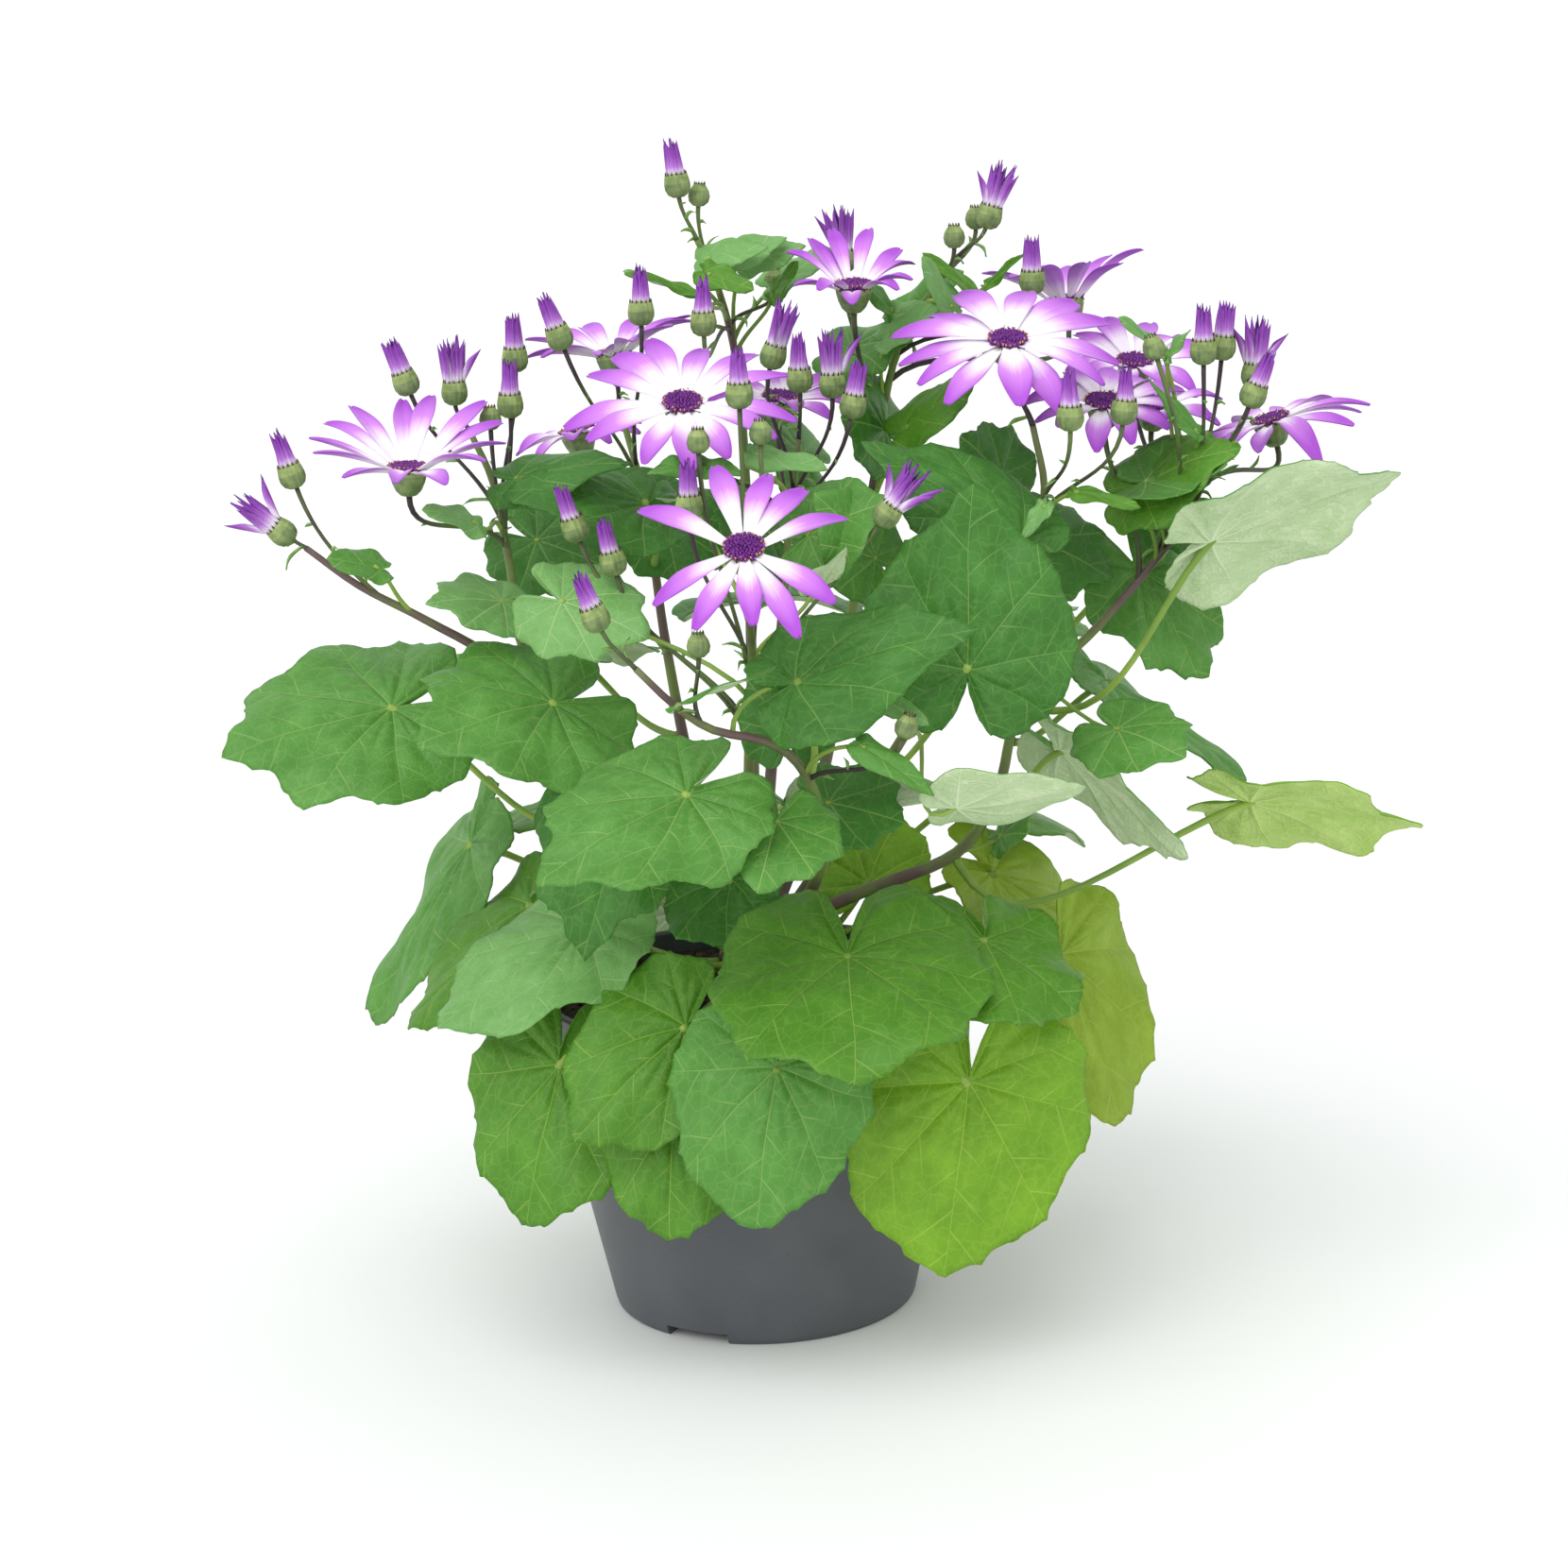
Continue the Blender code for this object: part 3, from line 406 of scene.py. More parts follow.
# What carries the leaf, arch of its petiole, joint, tip, facing, width, cupping, outline and tone
# Leaves that lie among the others and under the heads take the darkest tone, which partly paints their shade;
# the lime tone partly paints a glow of light through the leaf
leaves = {
    "basal_leaf_front": (
        ("crown", -66, 136), 10, (35, -95, 164), (35, -150, 134), (0, -6, 8), 96, 8, "round", "fresh"),
    "basal_leaf_front_right": (
        ("crown", -38, 137), 6, (86, -70, 161), (95, -112, 138), (3, -5, 8), 72, 6, "round", "fresh"),
    "basal_leaf_right_low": (
        ("crown", -46, 130), 8, (78, -88, 112), (67, -102, 46), (1, -9, 3), 90, 6, "round", "limeAndGlow"),
    "basal_leaf_front_low": (
        ("crown", -80, 130), 4, (8, -112, 128), (-3, -124, 72), (0, -9, 3), 68, 5, "round", "middle"),
    "basal_leaf_front_left": (
        ("crown", -104, 136), 8, (-25, -88, 137), (-66, -105, 101), (-1, -9, 4), 60, 4, "round", "fresh"),
    "basal_leaf_left_under": (
        ("crown", -112, 130), 13, (-31, -93, 104), (-34, -104, 60), (0, -9, 3), 50, 3, "round", "fresh"),
    "basal_leaf_left_low": (
        ("crown", -134, 130), 7, (-73, -72, 119), (-86, -92, 64), (-3, -8, 4), 68, 5, "round", "fresh"),
    "basal_leaf_left_light": (
        ("crown", -142, 137), 6, (-63, -55, 167), (-114, -75, 137), (-3, -5, 8), 62, 6, "round", "soft"),
    "basal_leaf_left_dark": (
        ("crown", -165, 137), 4, (-85, -15, 166), (-132, -30, 121), (-6, -4, 7), 60, 5, "round", "fresh"),
    "basal_leaf_far_left": (
        ("crown", 172, 131), 8, (-111, 32, 179), (-154, 34, 107), (-8, -3, 5), 62, 5, "round", "middle"),
    "basal_leaf_inner": (
        ("crown", -90, 137), 4, (-7, -52, 183), (-27, -68, 163), (0, -6, 8), 38, 3, "round", "deepGreenAndShade"),
    "basal_leaf_right_dull": (
        ("crown", 2, 131), 12, (120, 4, 133), (141, -8, 66), (4, -8, 4), 68, 6, "round", "olive"),
    "basal_leaf_right_high": (
        ("crown", 26, 137), 4, (96, 45, 156), (141, 56, 120), (5, -5, 7), 56, 4, "round", "olive"),
    "basal_leaf_inner_back": (
        ("crown", 34, 131), 4, (46, 28, 158), (58, 48, 182), (0, -8, 5), 44, 3, "round", "limeAndGlow"),
    "basal_leaf_back_right": (
        ("crown", 52, 137), 10, (84, 84, 178), (128, 130, 150), (3, 3, 9), 86, 8, "round", "fresh"),
    "basal_leaf_back": (
        ("crown", 76, 131), 12, (14, 112, 172), (18, 168, 142), (0, 4, 9), 90, 8, "round", "middle"),
    "basal_leaf_back_left": (
        ("crown", 130, 137), 10, (-72, 80, 184), (-112, 132, 160), (-3, 3, 9), 86, 8, "round", "fresh"),
    "basal_leaf_back_low": (
        ("crown", 104, 131), 8, (-34, 104, 128), (-46, 122, 72), (-2, 9, 4), 76, 6, "round", "fresh"),
    "stem_leaf_far_left": (
        ("stem_far_left", 0.32), 6, (-131, -35, 249), (-193, -55, 235), (-2, -6, 7), 82, 7,
        "lobed", "middle"),
    "stem_leaf_left": (
        ("stem_far_left", 0.24), 6, (-69, -60, 254), (-114, -92, 249), (-1, -7, 7), 74, 6, "lobed", "middle"),
    "stem_leaf_left_hanging": (
        ("stem_front", 0.3), 12, (-46, -66, 218), (-60, -92, 168), (-1, -8, 5), 60, 5, "lobed", "deepGreenAndShade"),
    "stem_leaf_front_left": (
        ("stem_front_left", 0.35), 4, (-20, -120, 232), (-71, -152, 212), (-1, -6, 8), 70, 6,
        "lobed", "middle"),
    "stem_leaf_centre": (
        ("stem_front_left", 0.6), 2, (19, -112, 269), (80, -119, 288), (1, -7, 7), 54, 5, "pointed", "deepGreenAndShade"),
    "stem_leaf_big": (
        ("stem_right_middle", 0.4), 0, (81, -88, 266), (86, -72, 330), (0, -9, 3), 78, 5, "pointed", "deepGreenAndShade"),
    "stem_leaf_right_edge": (
        ("stem_right", 0.5), 4, (140, 12, 240), (194, 22, 196), (6, -1, 8), 56, 5, "lobed", "middle"),
    "stem_leaf_right_pale": (
        ("stem_right", 0.44), 2, (119, -26, 222), (162, -34, 180), (6, 5, 6), 50, 4, "lobed", "soft"),
    "stem_leaf_far_right": (
        ("stem_right", 0.3), 6, (193, -5, 194), (254, -20, 185), (1, 6, 8), 66, 5, "lobed", "limeAndGlow"),
    "stem_leaf_right_top": (
        ("stem_right", 0.56), 4, (175, -30, 300), (250, -12, 318), (-2, 7, 6), 68, 5, "pointed", "middle"),
    "stem_leaf_right_dark": (
        ("stem_right", 0.58), 4, (153, 16, 282), (176, -2, 240), (3, -7, 6), 54, 4, "lobed", "middle"),
    "stem_leaf_shade": (
        ("stem_right_middle", 0.56), 4, (104, -58, 308), (46, -52, 344), (-1, -6, 8), 50, 4,
        "pointed", "deepGreenAndShade"),
    "stem_leaf_under_flower": (
        ("stem_back_left", 0.72), 4, (-33, -15, 319), (-85, -30, 328), (0, -5, 9), 54, 4, "pointed", "deepGreenAndShade"),
    "stem_leaf_back_left": (
        ("stem_back_left", 0.4), 6, (-68, 72, 246), (-122, 112, 236), (-3, 3, 9), 76, 7, "lobed", "middle"),
    "stem_leaf_back": (
        ("stem_back", 0.45), 6, (12, 92, 262), (10, 150, 254), (0, 3, 9), 78, 7, "lobed", "deepGreenAndShade"),
    "stem_leaf_back_right": (
        ("stem_back_right", 0.42), 6, (88, 88, 250), (136, 130, 244), (3, 3, 9), 78, 7, "lobed", "middle"),
}

# The stub that everything grows from: stems stand on a ring on its top, with a small gap between the solids
crown = {
    "radius": 14, "top": 141, "bottom": 108, "stemRing": 9.5, "gap": 0.35, "steps": 60, "roughness": 0.02,
}

# The map leafPlane lies flat on a blade in millimetres, so the veins run out from the joint at any bend.
# Main veins stand a turn apart. Side veins leave them at a slope, in turn to left and right, a pitch apart.
veins = {"turn": radians(40), "pitch": 15.0, "slope": 0.8, "stagger": 3.7, "taperLength": 40}
# Sizes of the patterns in mm: blotches, fine net and cells above, blotches and fine net on the underside
leafGrain = {"blotch": 20, "net": 4.545, "cells": 1.111, "underBlotch": 14.29, "underNet": 3.333}
# Darker green, lighter green and vein of the upper side, then skin and vein of the underside
leafTones = {
    # This darkest tone is partly the leaf's own dark green and partly painted shade, given to leaves that lie
    # among the others and under the heads
    "deepGreenAndShade": ("#31681a", "#427f2a", "#93b862", "#b2cb98", "#d8e6c0"),
    "middle": ("#47802a", "#59943c", "#a8c672", "#b2cb98", "#d8e6c0"),
    "fresh": ("#447a14", "#548c22", "#a6c45c", "#b2cb98", "#d8e6c0"),
    # This tone is partly a yellower green and partly a painted glow of light shining through the leaf, on
    # both sides
    "limeAndGlow": ("#61920f", "#78a81e", "#bcd460", "#a6c866", "#cfe292"),
    "soft": ("#62984a", "#76aa5e", "#b8d094", "#b2cb98", "#d8e6c0"),
    "olive": ("#7c9a1c", "#8fad30", "#b9c664", "#8ba33f", "#b0c06a"),
}


def veinMask(tree, thickness):
    # How strongly a vein shows: most on the midrib, less on the main veins beside it, least on the side veins
    plane = addNode(tree, "ShaderNodeUVMap", {"uv_map": "leafPlane"})
    axes = addNode(tree, "ShaderNodeSeparateXYZ", links={0: plane})
    length = addNode(tree, "ShaderNodeVectorMath", {"operation": "LENGTH"}, {0: plane}).outputs["Value"]
    angle = addNode(tree, "ShaderNodeMath", {"operation": "ARCTAN2"},
                    {0: axes.outputs[1], 1: axes.outputs[0]})
    turns = addNode(tree, "ShaderNodeMath", {"operation": "DIVIDE", 1: veins["turn"]}, {0: angle})
    nearest = addNode(tree, "ShaderNodeMath", {"operation": "ROUND"}, {0: turns})
    off = addNode(tree, "ShaderNodeMath", {"operation": "SUBTRACT"}, {0: turns, 1: nearest})
    offAngle = addNode(tree, "ShaderNodeMath", {"operation": "MULTIPLY", 1: veins["turn"]}, {0: off})
    bare = addNode(tree, "ShaderNodeMath", {"operation": "ABSOLUTE"}, {0: offAngle})
    sine = addNode(tree, "ShaderNodeMath", {"operation": "SINE"}, {0: bare})
    cosine = addNode(tree, "ShaderNodeMath", {"operation": "COSINE"}, {0: bare})
    across = addNode(tree, "ShaderNodeMath", {"operation": "MULTIPLY"}, {0: sine, 1: length})
    along = addNode(tree, "ShaderNodeMath", {"operation": "MULTIPLY"}, {0: cosine, 1: length})
    # A main vein thins towards the margin, and counts less the further round the blade it stands
    taper = addNode(tree, "ShaderNodeMapRange", {1: 0.0, 2: veins["taperLength"], 3: 0.9, 4: 0.26},
                    {0: length})
    thin = addNode(tree, "ShaderNodeMath", {"operation": "DIVIDE"}, {0: across, 1: taper})
    main = addNode(tree, "ShaderNodeMapRange", {1: thickness * 0.2, 2: thickness * 1.1, 3: 1.0, 4: 0.0},
                   {0: thin})
    rank = addNode(tree, "ShaderNodeMath", {"operation": "ABSOLUTE"}, {0: nearest})
    weight = addNode(tree, "ShaderNodeMapRange", {1: 0.0, 2: 3.0, 3: 1.0, 4: 0.45}, {0: rank})
    ranked = addNode(tree, "ShaderNodeMath", {"operation": "MULTIPLY"}, {0: main, 1: weight})
    # The side veins lie where the leaning distance along the main vein passes a whole pitch
    lean = addNode(tree, "ShaderNodeMath", {"operation": "MULTIPLY_ADD", 1: -veins["slope"]},
                   {0: across, 2: along})
    leftward = addNode(tree, "ShaderNodeMath", {"operation": "GREATER_THAN", 1: 0.0}, {0: off})
    turned = addNode(tree, "ShaderNodeMath", {"operation": "MULTIPLY_ADD", 1: veins["pitch"] / 2},
                     {0: leftward, 2: lean})
    shifted = addNode(tree, "ShaderNodeMath", {"operation": "MULTIPLY_ADD", 1: veins["stagger"]},
                      {0: nearest, 2: turned})
    nearSide = addNode(tree, "ShaderNodeMath", {"operation": "PINGPONG", 1: veins["pitch"] / 2}, {0: shifted})
    side = addNode(tree, "ShaderNodeMapRange", {1: 0.1, 2: 0.5, 3: 0.55, 4: 0.0}, {0: nearSide})
    fade = addNode(tree, "ShaderNodeMapRange", {1: 0.16, 2: 0.33, 3: 1.0, 4: 0.12}, {0: bare})
    sides = addNode(tree, "ShaderNodeMath", {"operation": "MULTIPLY"}, {0: side, 1: fade})
    return plane, addNode(tree, "ShaderNodeMath", {"operation": "MAXIMUM"}, {0: ranked, 1: sides})


def waxyLeafFinish(tone):
    # Waxy leaf skin, grown: satin, with thin pale veins on a slightly blotched green
    # In the darkest tone the greens partly paint shade on top of the leaf's own colour
    dark, light, vein = leafTones[tone][:3]
    # In the lime tone the greens partly paint a glow of light through the leaf
    finish, tree, shader = newFinish("waxyLeaf_" + tone, 0.47, Specular_IOR_Level=0.36)
    plane, ribs = veinMask(tree, 0.62)
    blotch = addNode(tree, "ShaderNodeTexNoise",
                     {"Scale": 1 / leafGrain["blotch"], "Detail": 4.0, "Roughness": 0.62}, {"Vector": plane})
    patch = addNode(tree, "ShaderNodeMapRange", {1: 0.32, 2: 0.68}, {0: blotch})
    green = addNode(tree, "ShaderNodeMix",
                    {"data_type": "RGBA", "A": linearColour(dark), "B": linearColour(light)},
                    {"Factor": patch})
    netting = addNode(tree, "ShaderNodeTexVoronoi",
                      {"feature": "DISTANCE_TO_EDGE", "Scale": 1 / leafGrain["net"]}, {"Vector": plane})
    net = addNode(tree, "ShaderNodeMapRange", {1: 0.0, 2: 0.07, 3: 0.2, 4: 0.0}, {0: netting})
    lines = addNode(tree, "ShaderNodeMath", {"operation": "MAXIMUM"}, {0: ribs, 1: net})
    strength = addNode(tree, "ShaderNodeMath", {"operation": "MULTIPLY", 1: 0.62}, {0: lines})
    skin = addNode(tree, "ShaderNodeMix", {"data_type": "RGBA", "B": linearColour(vein)},
                   {"Factor": strength, "A": green.outputs["Result"]})
    tree.links.new(skin.outputs["Result"], shader.inputs["Base Color"])
    cells = addNode(tree, "ShaderNodeTexNoise", {"Scale": 1 / leafGrain["cells"], "Detail": 3.0},
                    {"Vector": plane})
    sunk = addNode(tree, "ShaderNodeMath", {"operation": "MULTIPLY_ADD", 1: -0.8}, {0: lines, 2: cells})
    bump = addNode(tree, "ShaderNodeBump", {"Strength": 0.4, "Distance": 0.7 * mm}, {"Height": sunk})
    tree.links.new(bump.outputs["Normal"], shader.inputs["Normal"])
    return finish


def feltedLeafFinish(tone):
    # Felted underside, grown: pale grey-green, matt with short hairs, its veins standing up in a close net
    light, vein = leafTones[tone][3:]
    # In the lime tone the underside partly paints a glow of light through the leaf
    finish, tree, shader = newFinish("feltedLeaf_" + tone, 0.75, Specular_IOR_Level=0.3)
    plane, ribs = veinMask(tree, 0.9)
    netting = addNode(tree, "ShaderNodeTexVoronoi",
                      {"feature": "DISTANCE_TO_EDGE", "Scale": 1 / leafGrain["underNet"]}, {"Vector": plane})
    net = addNode(tree, "ShaderNodeMapRange", {1: 0.0, 2: 0.12, 3: 0.45, 4: 0.0}, {0: netting})
    lines = addNode(tree, "ShaderNodeMath", {"operation": "MAXIMUM"}, {0: ribs, 1: net})
    blotch = addNode(tree, "ShaderNodeTexNoise", {"Scale": 1 / leafGrain["underBlotch"], "Detail": 3.0},
                     {"Vector": plane})
    felt = addNode(tree, "ShaderNodeMath", {"operation": "MULTIPLY_ADD", 1: 0.6}, {0: lines, 2: blotch})
    lift = addNode(tree, "ShaderNodeMapRange", {1: 0.35, 2: 1.1, 3: 0.0, 4: 1.0}, {0: felt})
    skin = addNode(tree, "ShaderNodeMix",
                   {"data_type": "RGBA", "A": linearColour(light), "B": linearColour(vein)}, {"Factor": lift})
    tree.links.new(skin.outputs["Result"], shader.inputs["Base Color"])
    bump = addNode(tree, "ShaderNodeBump", {"Strength": 0.7, "Distance": 0.8 * mm}, {"Height": lines})
    tree.links.new(bump.outputs["Normal"], shader.inputs["Normal"])
    return finish


# Stem skin, grown: smooth with faint lengthwise ridges, green turning purple in patches some centimetres long
stalkLook = {"roughness": 0.5, "span": (0.42, 0.6), "bump": (0.25, 0.3), "ridges": 0.7143}
ribbedPetiole = mottledFinish("ribbedPetiole", "#76983a", "#98b54e", 35.71, **stalkLook)
ribbedStem = mottledFinish("ribbedStem", "#64504c", "#6f8440", 35.71, **stalkLook)
ribbedStalk = mottledFinish("ribbedStalk", "#38262f", "#5c7038", 45.45, **stalkLook)
leafSides = {tone: (waxyLeafFinish(tone), feltedLeafFinish(tone)) for tone in leafTones}
print("leaf and stem finishes made")


# Leaf blades and their petioles
leafShape = {
    "around": 168, "out": 18, "thickness": 0.55, "naturalWidth": 1.5, "tooth": 0.03, "teeth": 26,
    "valley": 0.9, "valleyWidth": 1.5, "pucker": 1.4, "wave": 2.6, "ribStart": 0, "drift": 4.5,
    "petioleRadii": [1.7, 1.35, 1.2, 1.3, 1.5], "petioleSides": 10,
}
# On a narrow leaf the veins leave one midrib, so its plane starts far behind the joint
sprayShape = {
    **leafShape, "around": 96, "out": 10, "thickness": 0.45, "tooth": 0.02, "teeth": 16, "valley": 0.5,
    "pucker": 0.5, "wave": 1.0, "ribStart": 70, "drift": 1.5,
    "petioleRadii": [1.0, 0.8, 0.8], "petioleSides": 7,
}
# The small leaves that aren't narrow
smallShape = {**sprayShape, "ribStart": 0, "tooth": 0.03}
# Reach of the margin from the joint, as a share of the length, at turns in degrees away from the tip
outlines = {
    "round": [
        (0, 1.0), (10, 0.965), (19, 0.905), (28, 0.9), (37.5, 0.915), (47, 0.875), (56, 0.815), (65, 0.815),
        (75, 0.83), (85, 0.79), (94, 0.745), (103, 0.745), (112.5, 0.755), (122, 0.72), (131, 0.67),
        (140, 0.665), (150, 0.66), (159, 0.62), (166, 0.52), (170, 0.3), (174, 0.12), (180, 0.05)],
    "lobed": [
        (0, 1.0), (9, 0.93), (19, 0.83), (28, 0.85), (37.5, 0.9), (47, 0.84), (56, 0.76), (65, 0.79),
        (75, 0.83), (85, 0.76), (94, 0.7), (103, 0.71), (112.5, 0.74), (122, 0.7), (131, 0.64),
        (140, 0.64), (150, 0.63), (159, 0.59), (166, 0.49), (170, 0.28), (174, 0.12), (180, 0.05)],
    "pointed": [
        (0, 1.0), (6, 0.95), (14, 0.86), (24, 0.81), (34, 0.82), (44, 0.8), (56, 0.765), (75, 0.76),
        (94, 0.7), (112.5, 0.66), (131, 0.58), (148, 0.52), (158, 0.45), (165, 0.34),
        (170, 0.2), (180, 0.05)],
    "spray": [
        (0, 1.0), (8, 0.93), (18, 0.82), (30, 0.72), (45, 0.63), (60, 0.56), (75, 0.52), (94, 0.5),
        (112.5, 0.49), (131, 0.46), (150, 0.4), (168, 0.3), (180, 0.14)],
}


def bladeFrame(joint, tip, facing):
    along = (tip - joint).normalized()
    up = (facing - along * facing.dot(along)).normalized()
    return along, up.cross(along), up


def outlineReach(outline, turn):
    degrees = abs(turn) * 180 / pi
    for (a, low), (b, high) in zip(outline, outline[1:]):
        if degrees <= b:
            t = (degrees - a) / (b - a)
            t = t * t * (3 - 2 * t)
            return low + (high - low) * t
    return outline[-1][1]


def veinHeights(u, v, shape):
    # How far the blade swells between its veins and sinks along them, in mm, at a place on its flat plane
    reach, turn = sqrt(u * u + v * v), atan2(v, u)
    nearest = round(turn / veins["turn"])
    off = turn - nearest * veins["turn"]
    across, along = reach * sin(abs(off)), reach * cos(off)
    valley = -shape["valley"] * exp(-(across / shape["valleyWidth"]) ** 2)
    lean = along - veins["slope"] * across + veins["stagger"] * nearest
    lean += veins["pitch"] / 2 if off > 0 else 0
    middle = max(0, 1 - abs(off) / (veins["turn"] / 2))
    swell = abs(sin(pi * lean / veins["pitch"])) * min(1.0, across / 6) * min(1.0, middle * 2.5)
    return valley + shape["pucker"] * swell


def addBlade(bm, joint, tip, facing, width, cup, outline, shape, seed):
    # A polar sheet: the grid's x runs round the blade and its y runs out from the joint
    length = (tip - joint).length / mm
    wide = width / shape["naturalWidth"]
    mean = (length + wide) / 2
    along, side, up = bladeFrame(joint, tip, facing)
    drift = Vector((chance(seed) * 50, chance(seed + 1) * 50, 0))
    lobes = 5 + round(chance(seed + 2) * 2)
    phase = chance(seed + 3) * 2 * pi
    verts = bmesh.ops.create_grid(bm, x_segments=shape["around"], y_segments=shape["out"], size=1)["verts"]
    flat = {}
    for vert in verts:
        turn, share = vert.co.x * pi, (vert.co.y + 1) / 2
        out = Vector((cos(turn), sin(turn), 0))
        wander = noise.noise(out * 1.1 + drift) * 0.07 + noise.noise(out * 3.3 + drift) * 0.02
        tooth = (1 - abs(cos(shape["teeth"] * turn / 2 + phase))) ** 3
        reach = outlineReach(outlines[outline], turn) * (1 + wander + shape["tooth"] * tooth * share ** 6)
        share = share ** 0.85
        bend = noise.noise_vector(out * share * 1.3 + drift) * shape["drift"] * share
        flatU = out.x * reach * share * mean + bend.x + shape["ribStart"]
        flatV = out.y * reach * share * mean + bend.y
        flat[vert] = (flatU, flatV)
        u = out.x * reach * share * (length if out.x > 0 else wide)
        v = out.y * reach * share * wide
        height = -cup * ((v / (wide * 0.75)) ** 2 - 0.35 * sin(pi * max(0, min(1, u / length))))
        height += veinHeights(flatU, flatV, shape) * (1 - 0.75 * share ** 2)
        height += shape["wave"] * share ** 3 * sin(lobes * turn + phase)
        height += noise.noise(Vector((u, v, 0)) * 0.05 + drift) * 2.4 * share
        vert.co = joint + (along * u + side * v + up * height) * mm
    plane = bm.loops.layers.uv.new("leafPlane")
    for face in bm.faces:
        for loop in face.loops:
            loop[plane].uv = flat[loop.vert]
    bmesh.ops.remove_doubles(bm, verts=verts, dist=0.02 * mm)


def joinBlade(whole, blade, shape, tone, seed, firstIndex=0):
    # A blade that faces up, has its thickness and joins the piece. Its finishes start at firstIndex.
    joint, tip, facing, *_ = blade
    along, _, up = bladeFrame(joint, tip, facing)
    bm = bmesh.new()
    addBlade(bm, *blade, shape, seed)
    bm.normal_update()
    total = sum((face.normal * face.calc_area() for face in bm.faces), Vector())
    if total.dot(up) < 0:
        bmesh.ops.reverse_faces(bm, faces=bm.faces[:])
    takeShape(whole, addSheet(newObject("blade", bm, leafSides[tone]), shape["thickness"]), firstIndex)
    return along, up


def stemPath(plan, step):
    angle = radians(plan["angle"])
    ring = 0 if plan["angle"] == 0 else crown["stemRing"]
    foot = (ring * cos(angle), ring * sin(angle), crown["top"] + crown["gap"])
    above = (foot[0], foot[1], crown["top"] + 6)
    return smoothPath([vec(foot), vec(above), *map(vec, plan["route"])], step)


stemPaths = {name: stemPath(plan, 24) for name, plan in stems.items()}
fineStemPaths = {name: stemPath(plan, 6) for name, plan in stems.items()}
# A petiole that hangs low first crosses the pot's rim
rim = {"radius": 85, "height": 128, "clearance": 12, "inset": 5}
# A petiole starts at the skin of its stem, runs straight out at first and ends just inside the blade
petioleShape = {"stemRadius": 2.4, "stemTaper": 1.1, "straight": 3, "lift": 0.3, "overlap": 1.5}


def petiolePath(carrier, arch, joint, along, up):
    if carrier[0] == "crown":
        angle = radians(carrier[1])
        outward = Vector((cos(angle), sin(angle), 0))
        root = outward * (crown["radius"] + crown["gap"]) * mm + Vector((0, 0, carrier[2] * mm))
    else:
        middle, heading = pointAlong(stemPaths[carrier[0]], carrier[1])
        outward = joint - middle
        outward = (outward - heading * outward.dot(heading)).normalized()
        root = middle + outward * (petioleShape["stemRadius"] - petioleShape["stemTaper"] * carrier[1]) * mm
    leave = outward + Vector((0, 0, arch * mm / (joint - root).length / bowReach))
    arrive = along * 0.45 + (joint - root).normalized() * 0.8 + up * 0.35
    first = root + outward * petioleShape["straight"] * mm
    end = joint + (up * petioleShape["lift"] + along * petioleShape["overlap"]) * mm
    if joint.z < (rim["height"] + rim["clearance"]) * mm:
        over = Vector((joint.x, joint.y, 0)).normalized() * (rim["radius"] - rim["inset"]) * mm
        over.z = (rim["height"] + arch) * mm
        return smoothPath([root, first, over, end], 7)
    return [root, *bow(first, leave, end, arrive, 14)]


for number, (name, plan) in enumerate(leaves.items()):
    carrier, arch, joint, tip, facing, width, cup, outline, tone = plan
    joint, tip, facing = vec(joint), vec(tip), Vector(facing)
    bm = bmesh.new()
    along, up = joinBlade(bm, (joint, tip, facing, width, cup, outline), leafShape, tone, number * 7 + 1)
    path = petiolePath(carrier, arch, joint, along, up)
    addTube(bm, path, leafShape["petioleRadii"], leafShape["petioleSides"], 2)
    addPiece("leafSkin_" + name, bm, (*leafSides[tone], ribbedPetiole), "leaf", name)
print("leaves made:", len(leaves))


# Ray florets: the white-based violet straps round each disc. The map rayPlane runs across and along a ray.
def velvetRayFinish(name, base, middle, tip, roughness=0.6, streak=0.2, edgeDepth=0.13, sheen=0.25):
    # Petal tissue, grown: matt and velvety, with lengthwise streaks of deeper colour about half a mm apart.
    # Its edges run ahead of its middle towards the tip's colour, or behind it where edgeDepth is below 0.
    finish, tree, shader = newFinish(name, roughness, Sheen_Weight=sheen)
    plane = addNode(tree, "ShaderNodeUVMap", {"uv_map": "rayPlane"})
    axes = addNode(tree, "ShaderNodeSeparateXYZ", links={0: plane})
    stretch = addNode(tree, "ShaderNodeMapping", {"Scale": (9.0, 1.2, 1.0)}, {"Vector": plane})
    streaks = addNode(tree, "ShaderNodeTexNoise", {"Scale": 1.0, "Detail": 3.0}, {"Vector": stretch})
    fromMiddle = addNode(tree, "ShaderNodeMath", {"operation": "ABSOLUTE"}, {0: axes.outputs[0]})
    edge = addNode(tree, "ShaderNodeMath", {"operation": "POWER", 1: 2.5}, {0: fromMiddle})
    reach = addNode(tree, "ShaderNodeMath", {"operation": "MULTIPLY_ADD", 1: edgeDepth},
                    {0: edge, 2: axes.outputs[1]})
    shifted = addNode(tree, "ShaderNodeMath", {"operation": "MULTIPLY_ADD", 1: streak},
                      {0: streaks, 2: reach})
    ramp = addNode(tree, "ShaderNodeValToRGB", links={0: shifted})
    stops = ramp.color_ramp.elements
    stops[0].position, stops[0].color = 0.42, linearColour(base)
    stops[1].position, stops[1].color = 1.0, linearColour(tip)
    stops.new(0.68).color = linearColour(middle)
    tree.links.new(ramp.outputs["Color"], shader.inputs["Base Color"])
    bump = addNode(tree, "ShaderNodeBump", {"Strength": 0.3, "Distance": 0.3 * mm}, {"Height": streaks})
    tree.links.new(bump.outputs["Normal"], shader.inputs["Normal"])
    return finish


